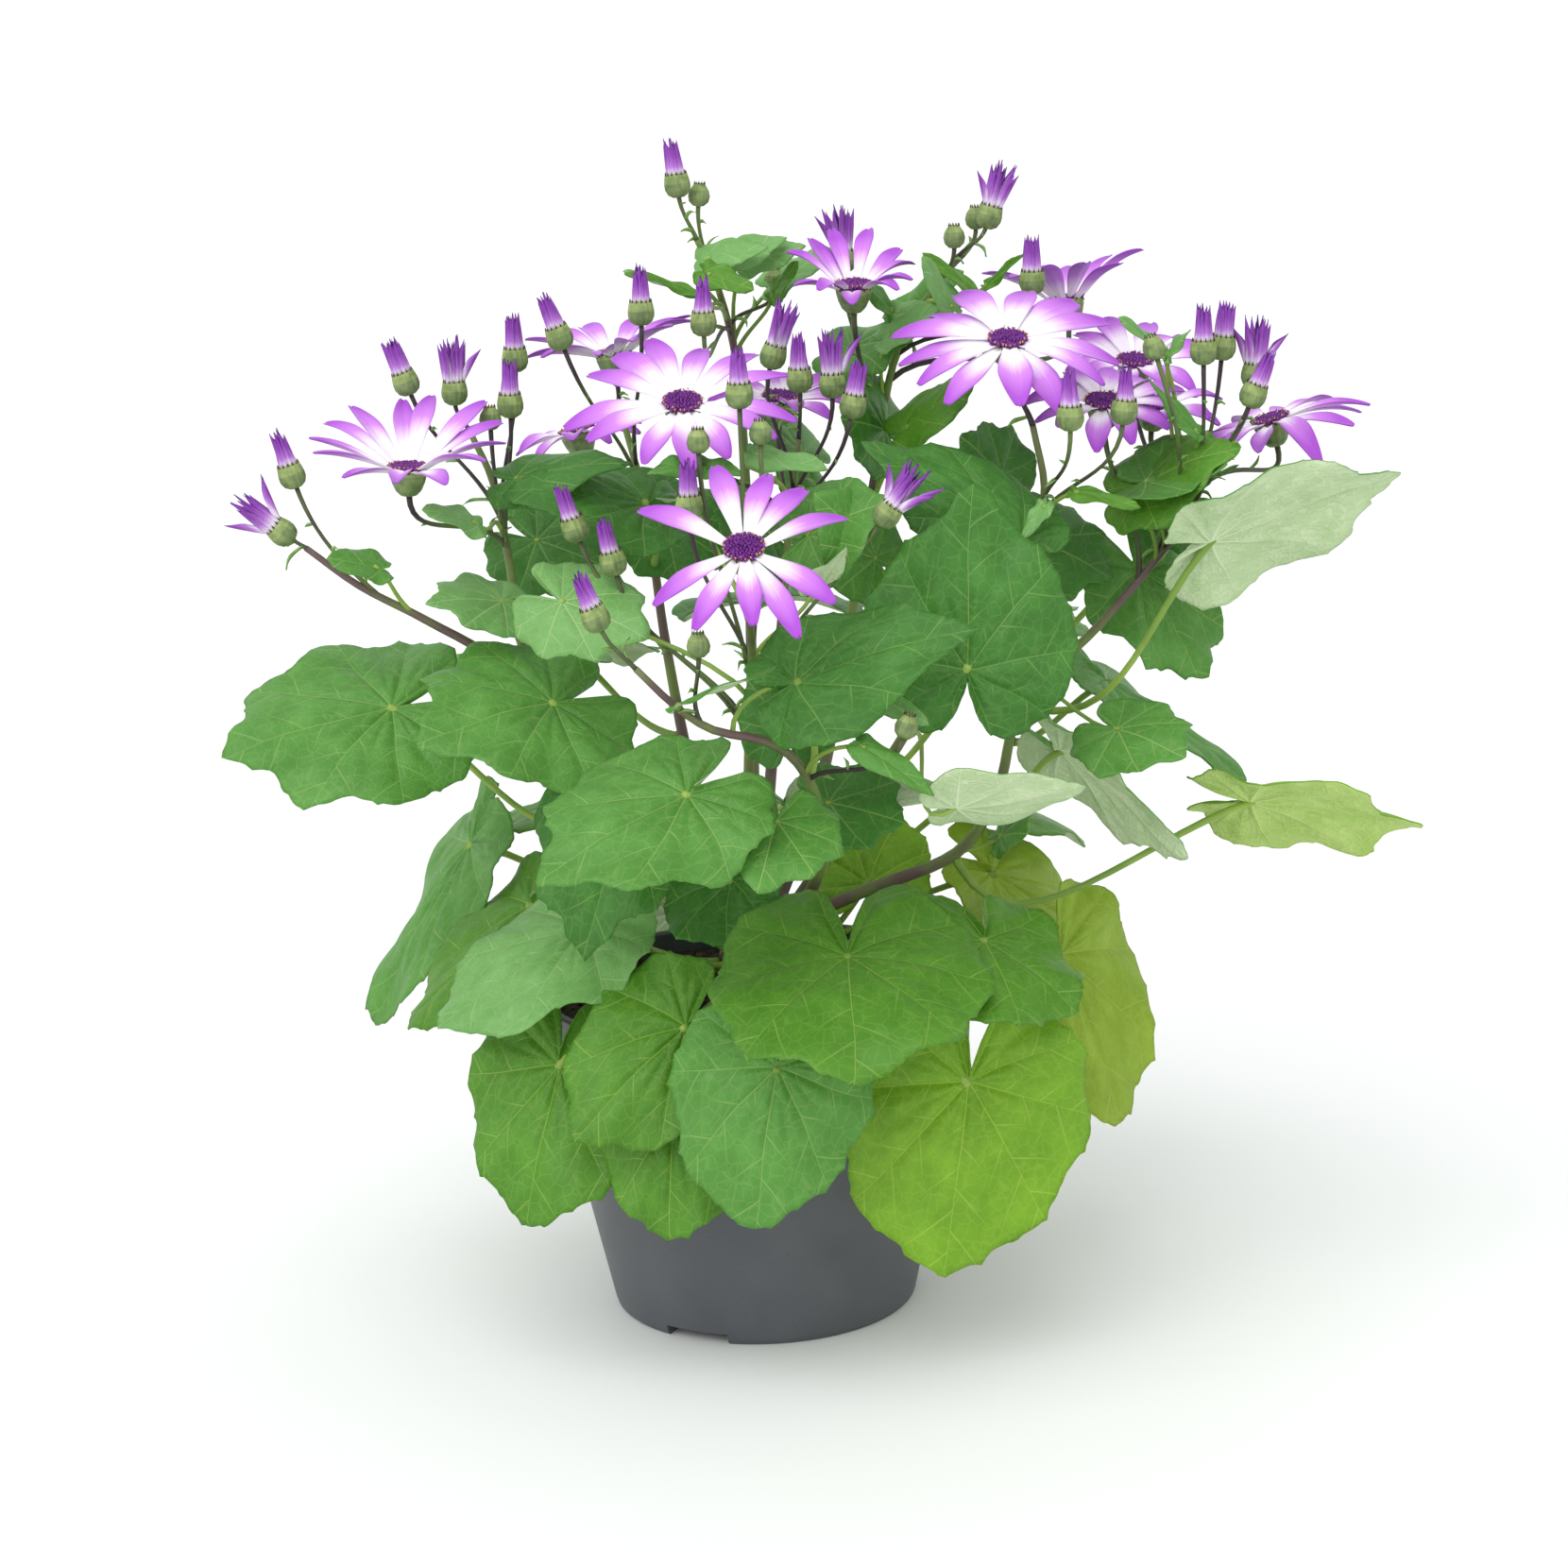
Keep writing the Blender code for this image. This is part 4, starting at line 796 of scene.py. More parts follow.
rolledLook = {"streak": 0.4, "edgeDepth": -0.34, "sheen": 0.0}
openRay = (velvetRayFinish("velvetRayFace", "#f8f0fa", "#d080e6", "#a843cc"),
           velvetRayFinish("velvetRayBack", "#ead9ef", "#bb74d4", "#9340b6", 0.65))
rolledRay = (velvetRayFinish("rolledRayBack", "#efe0f3", "#7f26a4", "#541478", **rolledLook),
             velvetRayFinish("rolledRayFace", "#f6eef8", "#b674d0", "#8a3cab", **rolledLook))
# Small parts, grown: beaded disc florets, powdery anthers, smooth cups with paler mouths, dry bract tips
beadedFloret = mottledFinish("beadedFloret", "#4f0a66", "#84259a", 1.111)
powderyAnther = mottledFinish("powderyAnther", "#a85a34", "#e8bc4e", 1.667)
smoothCup = mottledFinish("smoothCup", "#5f7547", "#86995f", 3.846)
smoothCupMouth = mottledFinish("smoothCupMouth", "#75894e", "#9cae6a", 3.846)
dryBractTip = mottledFinish("dryBractTip", "#2c1a1c", "#5a3a34", 2.5)
softBract = mottledFinish("softBract", "#6f9a48", "#93b768", 3.333, 0.55)
cupSides = (smoothCup, dryBractTip, smoothCupMouth)
paleMouth = 3.0  # how far below its tips a cup turns paler, in mm
widest = 0.62  # the share of a ray's length at which it is widest


# What the rays of one kind share: grid, width at the root, point, roll, groove, thickness in mm, and the most
# that one may twist and veer. Each ray adds its own size and bend.
rayShapes = {
    "open": {"across": 8, "along": 16, "root": 0.36, "point": 0.3, "roll": 1.8, "groove": 0.28, "twist": 0.3,
             "veer": 1.6, "thickness": 0.35},
    "rolled": {"across": 4, "along": 10, "root": 0.95, "point": 0.85, "roll": 2.4, "groove": 0.0,
               "twist": 0.5, "veer": 0.5, "thickness": 0.3, "rise": 0.1, "bow": -0.1},
    "bract": {"across": 2, "along": 8, "root": 0.8, "point": 0.7, "roll": 1.2, "groove": 0.0, "twist": 0.9,
              "thickness": 0.25, "shift": 0.0},
}


def rayWidth(share, root, point):
    # Half the ray's width as a share of its widest, from its root to its blunt or pointed tip
    if share < widest:
        t = share / widest
        return root + (1 - root) * (t * t * (3 - 2 * t)) ** 0.8
    blunt = sqrt(max(0.0, 1 - ((share - widest) / (1.02 - widest)) ** 2))
    return blunt * (1 - point * (share - widest) / (1 - widest))


def addRay(bm, place, ray, seed):
    # One strap on a grid: x across and y along, then bent up or down along its length and rolled across
    verts = bmesh.ops.create_grid(bm, x_segments=ray["across"], y_segments=ray["along"], size=1)["verts"]
    flat = {}
    twist = swing(seed, ray["twist"])
    veer = swing(seed + 9, ray["veer"])
    for vert in verts:
        a, s = vert.co.x, (vert.co.y + 1) / 2
        s = 1 - (1 - s) ** 1.25
        half = ray["width"] / 2 * rayWidth(s, ray["root"], ray["point"])
        x = a * half + veer * s * s
        y = s * ray["length"] - (1 - cos(2 * pi * a)) * 0.3 * s ** 6 + 0.4 * sin(9 * a + seed) * s ** 8
        z = ray["roll"] * a * a * half / ray["width"] * 2
        z -= ray["groove"] * cos(2 * pi * a) * sin(pi * min(1, s + 0.1))
        z += ray["rise"] * s + ray["bow"] * sin(pi * s) - ray["droop"] * s ** 3
        z += a * half * twist * s
        flat[vert] = (a, s + ray["shift"])
        vert.co = place @ vec((x, y, z))
    plane = bm.loops.layers.uv.get("rayPlane") or bm.loops.layers.uv.new("rayPlane")
    for face in facesOf(verts):
        for loop in face.loops:
            loop[plane].uv = flat[loop.vert]


def addCup(bm, place, cup):
    # The green cup of joined bracts: a spun profile pressed into ribs, paler near its mouth, with dark tips
    ribs, tip = cup["ribs"], cup["tip"]
    made = spun(bm, cup["profile"], ribs * 3)
    for vert in made:
        flat = vert.co.xy
        if flat.length > 1.2 * mm:  # the foot stays round
            pressed = 1 + cup["ribDepth"] * cos(ribs * flat.angle_signed(Vector((1, 0))))
            vert.co.x *= pressed
            vert.co.y *= pressed
    faces = facesOf(made)
    paint(faces, 0)
    paint([face for face in faces if face.calc_center_median().z > (tip["height"] - paleMouth) * mm], 2)
    bmesh.ops.transform(bm, matrix=place, verts=made)
    for i in range(ribs):
        foot = place @ onRing(2 * pi * i / ribs, tip["radius"], tip["height"])
        cone = bmesh.ops.create_cone(bm, cap_ends=True, segments=4, radius1=tip["size"] * mm,
                                     radius2=0.05 * mm, depth=tip["length"] * mm, matrix=foot)["verts"]
        paint(facesOf(cone), 1)


# Heights and radii in mm. Florets sit in a spiral that turns by the golden angle, the outer ones open.
headShape = {
    "discRadius": 7.0, "florets": 110, "floretTall": 2.3, "floretSize": 0.42,
    "anthers": 26, "antherSize": 0.34, "antherHeight": 2.2, "goldenAngle": pi * (3 - sqrt(5)),
    "rayStart": 5.6, "rayStep": 0.35, "stalkEnd": 9.2,
}
headCup = {
    "profile": [(0, -9.35), (3.0, -9.3), (4.6, -7.6), (5.9, -4.6), (6.7, -1.6), (6.9, 0.3),
                (6.2, 0.5), (0, 0.4)],
    "tip": {"radius": 6.9, "height": 0.5, "size": 0.55, "length": 1.4}, "ribs": 13, "ribDepth": 0.035,
}
# The front head's rays stand unevenly: turn, share of the full length and rise of the tip
frontRays = [(14, 1.0, 7), (60, 1.04, 4), (128, 1.0, -2), (156, 1.03, -3), (183, 0.86, -2), (204, 1.1, -5),
             (228, 1.0, -3), (288, 0.95, 4), (322, 0.84, 6), (346, 0.8, 8)]
# How much higher the rays at the back of a head stand than those in front of its disc
backLift = {"flower_left": 9, "flower_right": 1, "flower_centre": 2, "flower_back": 7, "flower_back_left": 3,
            "flower_back_right": 4, "flower_right_back": 2}
# One ray of the far right head hangs down in a hook
hookedRay = {"head": "flower_far_right", "index": 6, "bend": {"length": 33, "droop": 8, "bow": 4, "veer": 0}}


def addDisc(bm, place, seed):
    # Disc florets, and orange anthers on the outermost
    radius = headShape["discRadius"]
    for i in range(headShape["florets"]):
        share = sqrt((i + 0.5) / headShape["florets"])
        tall = headShape["floretTall"] - 0.5 * share + swing(seed + i, 0.35)
        spot = onRing(i * headShape["goldenAngle"] + seed, radius * share, tall / 2 + 0.4)
        size = (headShape["floretSize"] + 0.16 * share) * mm
        bmesh.ops.create_cone(bm, cap_ends=True, segments=5, radius1=size, radius2=size * 1.15,
                              depth=tall * mm, matrix=place @ spot @ Matrix.Rotation(share * 0.5, 4, "Y"))
    for i in range(headShape["anthers"]):
        turn = 2 * pi * i / headShape["anthers"] + swing(seed + i, 0.08)
        reach = radius * (0.9 + chance(seed + i * 3) * 0.16)
        spot = onRing(turn, reach, headShape["antherHeight"] + swing(i + seed, 0.4))
        grain = bmesh.ops.create_icosphere(bm, subdivisions=1, radius=headShape["antherSize"] * mm,
                                           matrix=place @ spot @ Matrix.Scale(1.7, 4, (0, 0, 1)))["verts"]
        paint(facesOf(grain), 1)


def addHead(name, plan, seed):
    _, _, middle, way, length, count, lift, width, white = plan
    place = upright(vec(middle), way)
    rise = backLift.get(name, 0)
    turns = [(360 * (i + 0.5) / count + swing(seed + i, 7), 0.98 + swing(seed + i * 7, 0.07),
              lift + swing(seed + i * 3, 3)) for i in range(count)]
    bm = bmesh.new()
    for i, (degrees, share, up) in enumerate(frontRays if name == "flower_front" else turns):
        number, turn = seed + i * 5, radians(degrees)
        ray = {
            **rayShapes["open"], "width": width * (1 + swing(number + 1, 0.12)),
            "length": (length - headShape["rayStart"]) * share, "shift": -white + swing(number + 3, 0.04),
            "rise": up + rise * (cos(turn) + 1), "bow": 1.6 + swing(number, 0.8),
            "droop": 1.5 + swing(number + 2, 1.4),
        }
        if name == hookedRay["head"] and i == hookedRay["index"]:
            ray.update(hookedRay["bend"])
        level = headShape["rayStep"] * (-1 if i % 2 else 1)  # neighbours lie over and under each other
        spot = Matrix.Rotation(turn, 4, "Z") @ Matrix.Translation(vec((0, headShape["rayStart"], level)))
        addRay(bm, place @ spot, ray, number)
    addSheet(addPiece("rays_" + name, bm, openRay, "flower_head", name), rayShapes["open"]["thickness"])
    bm = bmesh.new()
    addDisc(bm, place, seed)
    addPiece("disc_" + name, bm, (beadedFloret, powderyAnther), "flower_head", name)
    bm = bmesh.new()
    addCup(bm, place, headCup)
    addPiece("cup_" + name, bm, cupSides, "flower_head", name)


for number, (name, plan) in enumerate(heads.items()):
    addHead(name, plan, number * 101 + 3)
print("flower heads made:", len(heads))


# Stems with their stalks, buds and bracts
stalkShape = {
    "stemRadii": [2.5, 2.4, 2.0, 1.6, 1.2], "stemSides": 12, "sides": 8, "bud": 0.85, "head": 1.05,
    "taper": (1.15, 0.9, 0.85, 1.1), "bracts": ((0.12, 9.0, 1.5), (0.45, 6.0, 1.2), (0.7, 4.0, 0.9)),
}
budShapes = {
    "closed": {"rays": 14, "length": 14, "width": 1.55, "lean": -0.1, "spread": 0.09, "shift": 0.22,
               "stray": 0, "mouth": 3.4},
    "half": {"rays": 15, "length": 18, "width": 1.6, "lean": 0.03, "spread": 0.1, "shift": 0.18,
             "stray": 0.6, "mouth": 3.7},
}
urn = {
    "profile": [(0, 0.2), (2.0, 0.3), (3.7, 1.5), (4.55, 3.6), (4.6, 5.6), (4.25, 7.8), (3.85, 9.3),
                (3.2, 9.0), (0, 8.8)],
    "tip": {"radius": 3.95, "height": 9.6, "size": 0.42, "length": 1.5}, "ribs": 13, "ribDepth": 0.09,
    "mouthHeight": 8.4,
}
greenUrn = {
    "profile": [(0, 0.1), (1.9, 0.4), (3.4, 2.0), (3.8, 4.2), (3.3, 6.4), (2.2, 8.2), (1.9, 9.0), (0, 8.8)],
    "tip": {"radius": 2.0, "height": 9.3, "size": 0.32, "length": 1.2}, "ribs": 11, "ribDepth": 0.12,
}


def addBud(cups, rays, kind, foot, way, seed):
    place = upright(vec(foot), way)
    addCup(cups, place, greenUrn if kind == "green" else urn)
    if kind == "green":
        return
    shape = budShapes[kind]
    for i in range(shape["rays"]):
        number = seed + i * 3
        turn = Matrix.Rotation(2 * pi * i / shape["rays"] + swing(number, 0.12), 4, "Z")
        stand = Matrix.Translation(vec((0, shape["mouth"] + swing(number + 5, 0.35), urn["mouthHeight"])))
        stray = shape["stray"] * max(0, chance(number + 8) - 0.72) / 0.28  # about one ray in four leans out
        tilt = Matrix.Rotation(pi / 2 - shape["lean"] - swing(number + 1, shape["spread"]) - stray, 4, "X")
        ray = {
            **rayShapes["rolled"], "width": shape["width"], "shift": shape["shift"],
            "length": shape["length"] * (0.9 + swing(number + 2, 0.14)), "droop": swing(number, 0.5),
        }
        addRay(rays, place @ turn @ stand @ tilt, ray, number)


def shootPaths(name, plan):
    # The stalk of each bud and each head, from its stem to the bottom of its cup, with its thickness
    ends = []
    for kind, foot, way, share in plan["shoots"]:
        axis = Vector(way).normalized()
        ends.append((share, vec(foot), vec(foot) + axis * mm, axis, 12, stalkShape["bud"]))
    for stemName, share, middle, way, *_ in heads.values():
        if stemName == name:
            axis = Vector(way).normalized()
            base = vec(middle) - axis * headShape["stalkEnd"] * mm
            ends.append((share, base, base, axis, 14, stalkShape["head"]))
    paths = []
    for share, base, end, axis, count, radius in ends:
        root, heading = pointAlong(stemPaths[name], share)
        paths.append((bow(root, heading + (base - root).normalized() * 1.2, end, axis, count), radius))
    return paths


def addBract(bm, place, length, width, seed):
    # A narrow curling bract on a stalk
    ray = {**rayShapes["bract"], "width": width, "length": length, "rise": length * 0.3,
           "bow": swing(seed, 1.2), "droop": length * 0.35, "veer": length * 0.15}
    addRay(bm, place, ray, seed)


def addStem(name, plan, seed):
    bm = bmesh.new()
    addTube(bm, fineStemPaths[name], stalkShape["stemRadii"], stalkShape["stemSides"], 0)
    shoots = shootPaths(name, plan)
    for path, radius in shoots:
        addTube(bm, path, [radius * part for part in stalkShape["taper"]], stalkShape["sides"], 1)
    addPiece("skin_" + name, bm, (ribbedStem, ribbedStalk), "stem", name)
    cups, rays = bmesh.new(), bmesh.new()
    for i, (kind, foot, way, _) in enumerate(plan["shoots"]):
        addBud(cups, rays, kind, foot, way, seed + i * 17)
    addPiece("budCups_" + name, cups, cupSides, "stem", name)
    addSheet(addPiece("budRays_" + name, rays, rolledRay, "flower_head", name),
             rayShapes["rolled"]["thickness"])
    bracts = bmesh.new()
    for i, (path, _) in enumerate(shoots):
        for j, (share, length, width) in enumerate(stalkShape["bracts"]):
            root, heading = pointAlong(path, share)
            number = seed + i * 11 + j * 3
            turn = Matrix.Rotation(chance(number) * 2 * pi, 4, "Z")
            lift = Matrix.Rotation(0.5 + swing(number + 1, 0.4), 4, "X")
            size = length * (1 + swing(number + 2, 0.3))
            addBract(bracts, upright(root, heading) @ turn @ lift, size, width, number)
    addSheet(addPiece("bracts_" + name, bracts, (softBract, softBract), "leaf", name),
             rayShapes["bract"]["thickness"])


# Leaves among the stalks, too small and too many for solids:
# share of the stem, joint, tip, facing, width, cupping, outline and tone
# Here too the darkest tone partly paints the shade among the stalks and under the heads
fillLeaves = {
    "stem_back": [
        (0.86, (-12, 12, 393), (-38, 4, 402), (0, -5, 9), 11, 2, "spray", "fresh"),
        (0.9, (-8, 30, 405), (16, 24, 410), (0, -6, 7), 24, 2, "spray", "soft"),
        (0.86, (-8, 20, 400), (9, 12, 394), (0, -6, 8), 20, 2, "spray", "fresh"),
        (0.8, (8, 47, 402), (30, 42, 408), (0, -6, 7), 24, 2, "spray", "soft"),
        (0.8, (16, 52, 388), (26, 44, 402), (0, -6, 7), 14, 1, "spray", "fresh"),
        (0.6, (26, 60, 325), (2, 46, 346), (0, -6, 8), 42, 4, "lobed", "middle"),
    ],
    "stem_back_right": [
        (0.9, (95, 30, 387), (73, 20, 405), (0, -6, 7), 15, 2, "spray", "fresh"),
        (0.92, (98, 40, 390), (112, 32, 402), (0, -6, 7), 8, 1, "spray", "fresh"),
        (0.8, (64, 50, 380), (84, 40, 378), (0, -6, 8), 20, 2, "spray", "soft"),
        (0.8, (62, 50, 381), (50, 42, 394), (0, -6, 8), 18, 2, "spray", "middle"),
        (0.75, (68, 66, 378), (90, 58, 394), (0, -6, 8), 30, 3, "spray", "middle"),
        (0.66, (46, 60, 366), (70, 48, 368), (0, -5, 8), 40, 4, "lobed", "middle"),
        (0.6, (66, 30, 338), (94, 14, 358), (0, -6, 8), 46, 4, "spray", "fresh"),
        (0.55, (58, 40, 336), (42, 28, 360), (0, -6, 8), 42, 4, "lobed", "deepGreenAndShade"),
    ],
    "stem_right_middle": [
        (0.8, (124, -50, 323), (147, -59, 318), (0, -6, 8), 13, 2, "spray", "fresh"),
        (0.78, (112, -55, 319), (103, -64, 309), (-1, -6, 7), 11, 2, "spray", "soft"),
        (0.7, (112, 8, 296), (142, 0, 282), (1, -7, 7), 48, 4, "lobed", "deepGreenAndShade"),
        (0.74, (100, 0, 322), (84, -6, 338), (-1, -7, 7), 40, 3, "lobed", "deepGreenAndShade"),
        (0.45, (75, -105, 220), (120, -112, 228), (2, 7, 8), 40, -4, "pointed", "soft"),
    ],
    "stem_right": [
        (0.84, (150, -20, 320), (184, -36, 336), (-1, -6, 8), 42, 4, "lobed", "fresh"),
        (0.9, (170, -30, 341), (151, -40, 362), (1, -6, 7), 15, 2, "spray", "middle"),
        (0.86, (159, -20, 370), (142, -28, 383), (1, -6, 7), 12, 1, "spray", "soft"),
        (0.86, (161, -20, 368), (169, -28, 378), (1, -6, 7), 10, 1, "spray", "soft"),
        (0.72, (171, 34, 305), (142, 24, 300), (0, -7, 7), 48, 4, "lobed", "deepGreenAndShade"),
        (0.3, (97, 5, 181), (110, -6, 194), (1, -6, 8), 18, 2, "round", "middle"),
    ],
    "stem_middle": [
        (0.7, (26, -58, 312), (56, -70, 326), (0, -7, 7), 48, 4, "pointed", "middle"),
        (0.72, (50, -60, 303), (28, -70, 330), (0, -7, 7), 40, 4, "pointed", "middle"),
        (0.86, (8, -58, 342), (34, -70, 338), (0, -6, 8), 18, 2, "spray", "soft"),
        (0.66, (12, 20, 300), (-12, 8, 318), (0, -6, 8), 46, 4, "lobed", "deepGreenAndShade"),
    ],
    "stem_front": [
        (0.8, (27, -74, 294), (39, -82, 310), (1, 6, 8), 17, -2, "spray", "soft"),
        (0.9, (-14, -72, 341), (-31, -80, 339), (0, -6, 8), 16, 2, "spray", "middle"),
        (0.9, (-12, -70, 340), (4, -80, 338), (0, -6, 8), 16, 2, "spray", "middle"),
        (0.7, (-64, -64, 292), (-34, -78, 280), (0, -7, 7), 44, 3, "lobed", "soft"),
        (0.35, (30, -66, 214), (58, -76, 208), (0, -7, 7), 40, 3, "lobed", "deepGreenAndShade"),
    ],
    "stem_back_left": [
        (0.8, (-82, -14, 330), (-40, -24, 336), (0, -5, 9), 34, 4, "pointed", "deepGreenAndShade"),
        (0.55, (-78, 26, 300), (-48, 16, 288), (0, -7, 7), 48, 4, "lobed", "deepGreenAndShade"),
        (0.6, (-30, 40, 304), (-4, 30, 286), (0, -7, 7), 46, 4, "lobed", "deepGreenAndShade"),
    ],
    "stem_front_left": [
        (0.7, (16, -87, 246), (16, -80, 272), (0, -8, 4), 34, 3, "round", "deepGreenAndShade"),
        (0.8, (38, -104, 268), (64, -116, 252), (1, -5, 8), 18, 2, "pointed", "soft"),
    ],
}


def addSprayLeaves(name, plan, seed):
    ownTone = "soft" if name in ("stem_back", "stem_back_right", "stem_left") else "middle"
    planned = [(*row, "lobed" if row[4] > 30 else "spray", ownTone) for row in plan["leaves"]]
    rows = planned + fillLeaves.get(name, [])
    tones = list(dict.fromkeys(row[-1] for row in rows))
    finishes = [finish for tone in tones for finish in leafSides[tone]]
    whole = bmesh.new()
    for i, (share, joint, tip, facing, width, cup, outline, tone) in enumerate(rows):
        joint, tip, facing = vec(joint), vec(tip), Vector(facing)
        shape = sprayShape if outline == "spray" else smallShape
        along, up = joinBlade(whole, (joint, tip, facing, width, cup, outline), shape, tone, seed + i * 3,
                              2 * tones.index(tone))
        root, heading = pointAlong(stemPaths[name], share)
        path = bow(root, heading + (joint - root).normalized(), joint + (up * 0.3 + along) * mm,
                   along * 0.7 + up * 0.4)
        addTube(whole, path, sprayShape["petioleRadii"], sprayShape["petioleSides"], len(finishes))
    addPiece("sprayLeaves_" + name, whole, (*finishes, ribbedPetiole), "leaf", name)


for number, (name, plan) in enumerate(stems.items()):
    addStem(name, plan, number * 211 + 5)
    if plan["leaves"] or name in fillLeaves:
        addSprayLeaves(name, plan, number * 31 + 400)
print("stems made:", len(stems))


# Pot, below its rim
pot = {
    "baseRadius": 58, "wall": 2, "rimWidth": 4, "collarBottom": 94, "collarStep": 3, "bodyTopRadius": 79,
    "floorTop": 6, "steps": 128,
    "notch": {"count": 3, "turn": 3, "width": 26, "height": 4.5, "inner": 40, "past": 8},
    "drain": {"radius": 4.5, "ring": 47, "depth": 24},
}
# Sizes of its patterns in mm: clouds of dust, the spacing of soil specks, and the grain of the mould
potGrain = {"cloud": 28.57, "specks": 5.263, "mould": 1.111}


def mouldedPlasticFinish():
    # Polypropylene, injection-moulded: dull grey, uneven in gloss, with a faint grain, dust and soil specks
    finish, tree, shader = newFinish("mouldedPolypropylene", 0.5)
    place = addNode(tree, "ShaderNodeTexCoord").outputs["Object"]
    cloud = addNode(tree, "ShaderNodeTexNoise", {"Scale": 1 / (potGrain["cloud"] * mm), "Detail": 5.0},
                    {"Vector": place})
    dusty = addNode(tree, "ShaderNodeMapRange", {1: 0.35, 2: 0.75}, {0: cloud})
    skin = addNode(tree, "ShaderNodeMix",
                   {"data_type": "RGBA", "A": linearColour("#4d5055"), "B": linearColour("#585b5f")},
                   {"Factor": dusty})
    specks = addNode(tree, "ShaderNodeTexVoronoi", {"Scale": 1 / (potGrain["specks"] * mm)},
                     {"Vector": place})
    speck = addNode(tree, "ShaderNodeMapRange", {1: 0.04, 2: 0.09, 3: 0.55, 4: 0.0}, {0: specks})
    dotted = addNode(tree, "ShaderNodeMix", {"data_type": "RGBA", "B": linearColour("#3b3530")},
                     {"Factor": speck, "A": skin.outputs["Result"]})
    tree.links.new(dotted.outputs["Result"], shader.inputs["Base Color"])
    dull = addNode(tree, "ShaderNodeMapRange", {1: 0.3, 2: 0.7, 3: 0.42, 4: 0.58}, {0: cloud})
    tree.links.new(dull.outputs[0], shader.inputs["Roughness"])
    grain = addNode(tree, "ShaderNodeTexNoise", {"Scale": 1 / (potGrain["mould"] * mm), "Detail": 2.0},
                    {"Vector": place})
    bump = addNode(tree, "ShaderNodeBump", {"Strength": 0.12, "Distance": 0.4 * mm}, {"Height": grain})
    tree.links.new(bump.outputs["Normal"], shader.inputs["Normal"])
    return finish


def addPot():
    low, top, outer, body = pot["collarBottom"], rim["height"], rim["radius"], pot["bodyTopRadius"]
    base, wall = pot["baseRadius"], pot["wall"]
    inner, collar = outer - pot["rimWidth"], body + pot["collarStep"]
    profile = [
        (0, pot["floorTop"]), (base - wall, pot["floorTop"]), (body - wall, low - 2), (inner, low + 2),
        (inner, top - 0.8), (inner + 0.8, top), (outer - 0.9, top), (outer, top - 0.9),
        (outer - 0.6, top - 6), (outer - 1.1, top - 7), (collar + 0.4, low + 0.9), (collar - 0.4, low),
        (body + 0.6, low - 0.4), (body, low - 1.6), (base + 1.8, 3.0), (base + 1.1, 0.9), (base, 0), (0, 0),
    ]
    bm = bmesh.new()
    spun(bm, profile, pot["steps"])
    shell = newObject("potBody", bm)
    # Each notch in the bottom edge is a channel to a drain hole, cut by a block and a peg
    notch, drain, cutters = pot["notch"], pot["drain"], []
    reach, radius = base + notch["past"] - notch["inner"], drain["radius"] * mm
    size = Matrix.Diagonal((*vec((reach, notch["width"], 2 * notch["height"])), 1))
    for i in range(notch["count"]):
        turn = radians(notch["turn"] + i * 360 / notch["count"])
        bm = bmesh.new()
        bmesh.ops.create_cube(bm, size=1, matrix=onRing(turn, notch["inner"] + reach / 2, 0) @ size)
        bmesh.ops.create_cone(bm, cap_ends=True, segments=24, radius1=radius, radius2=radius,
                              depth=drain["depth"] * mm, matrix=onRing(turn, drain["ring"], 0))
        cutters.append(newObject("notch", bm))
        carve = shell.modifiers.new("notch", "BOOLEAN")
        carve.operation = "DIFFERENCE"
        carve.use_self = True
        carve.object = cutters[-1]
    bm = bmesh.new()
    takeShape(bm, shell)
    for cutter in cutters:
        bpy.data.meshes.remove(cutter.data)
    piece = addPiece("pot", bm, (mouldedPlasticFinish(),), "pot", "nursery_pot")
    piece.data.set_sharp_from_angle(angle=radians(35))


addPot()
print("pot made")


# Soil: peat and bark fines, watered in. Its body is the radii and heights of its sides down the pot.
soilShape = {
    "top": 124, "edge": 119, "rings": 34, "around": 120, "well": 14.4, "gap": 0.35,
    "body": [(80.15, 96), (76, 92), (55, 6.5)], "crumbs": 420,
    "fibres": 60, "fibreRadii": [0.3, 0.35, 0.25], "fibreSides": 5,
}
# Loose particles, wetted: dark and crumbly, with paler woody bits
soilLook = {"grain": 2.381, "roughness": 0.92, "detail": 6.0, "span": (0.35, 0.7), "bump": (0.8, 1.5)}


def soilLevel(share):
    # Height of the surface at a share of the way out
    return soilShape["top"] + (soilShape["edge"] - soilShape["top"]) * share ** 2


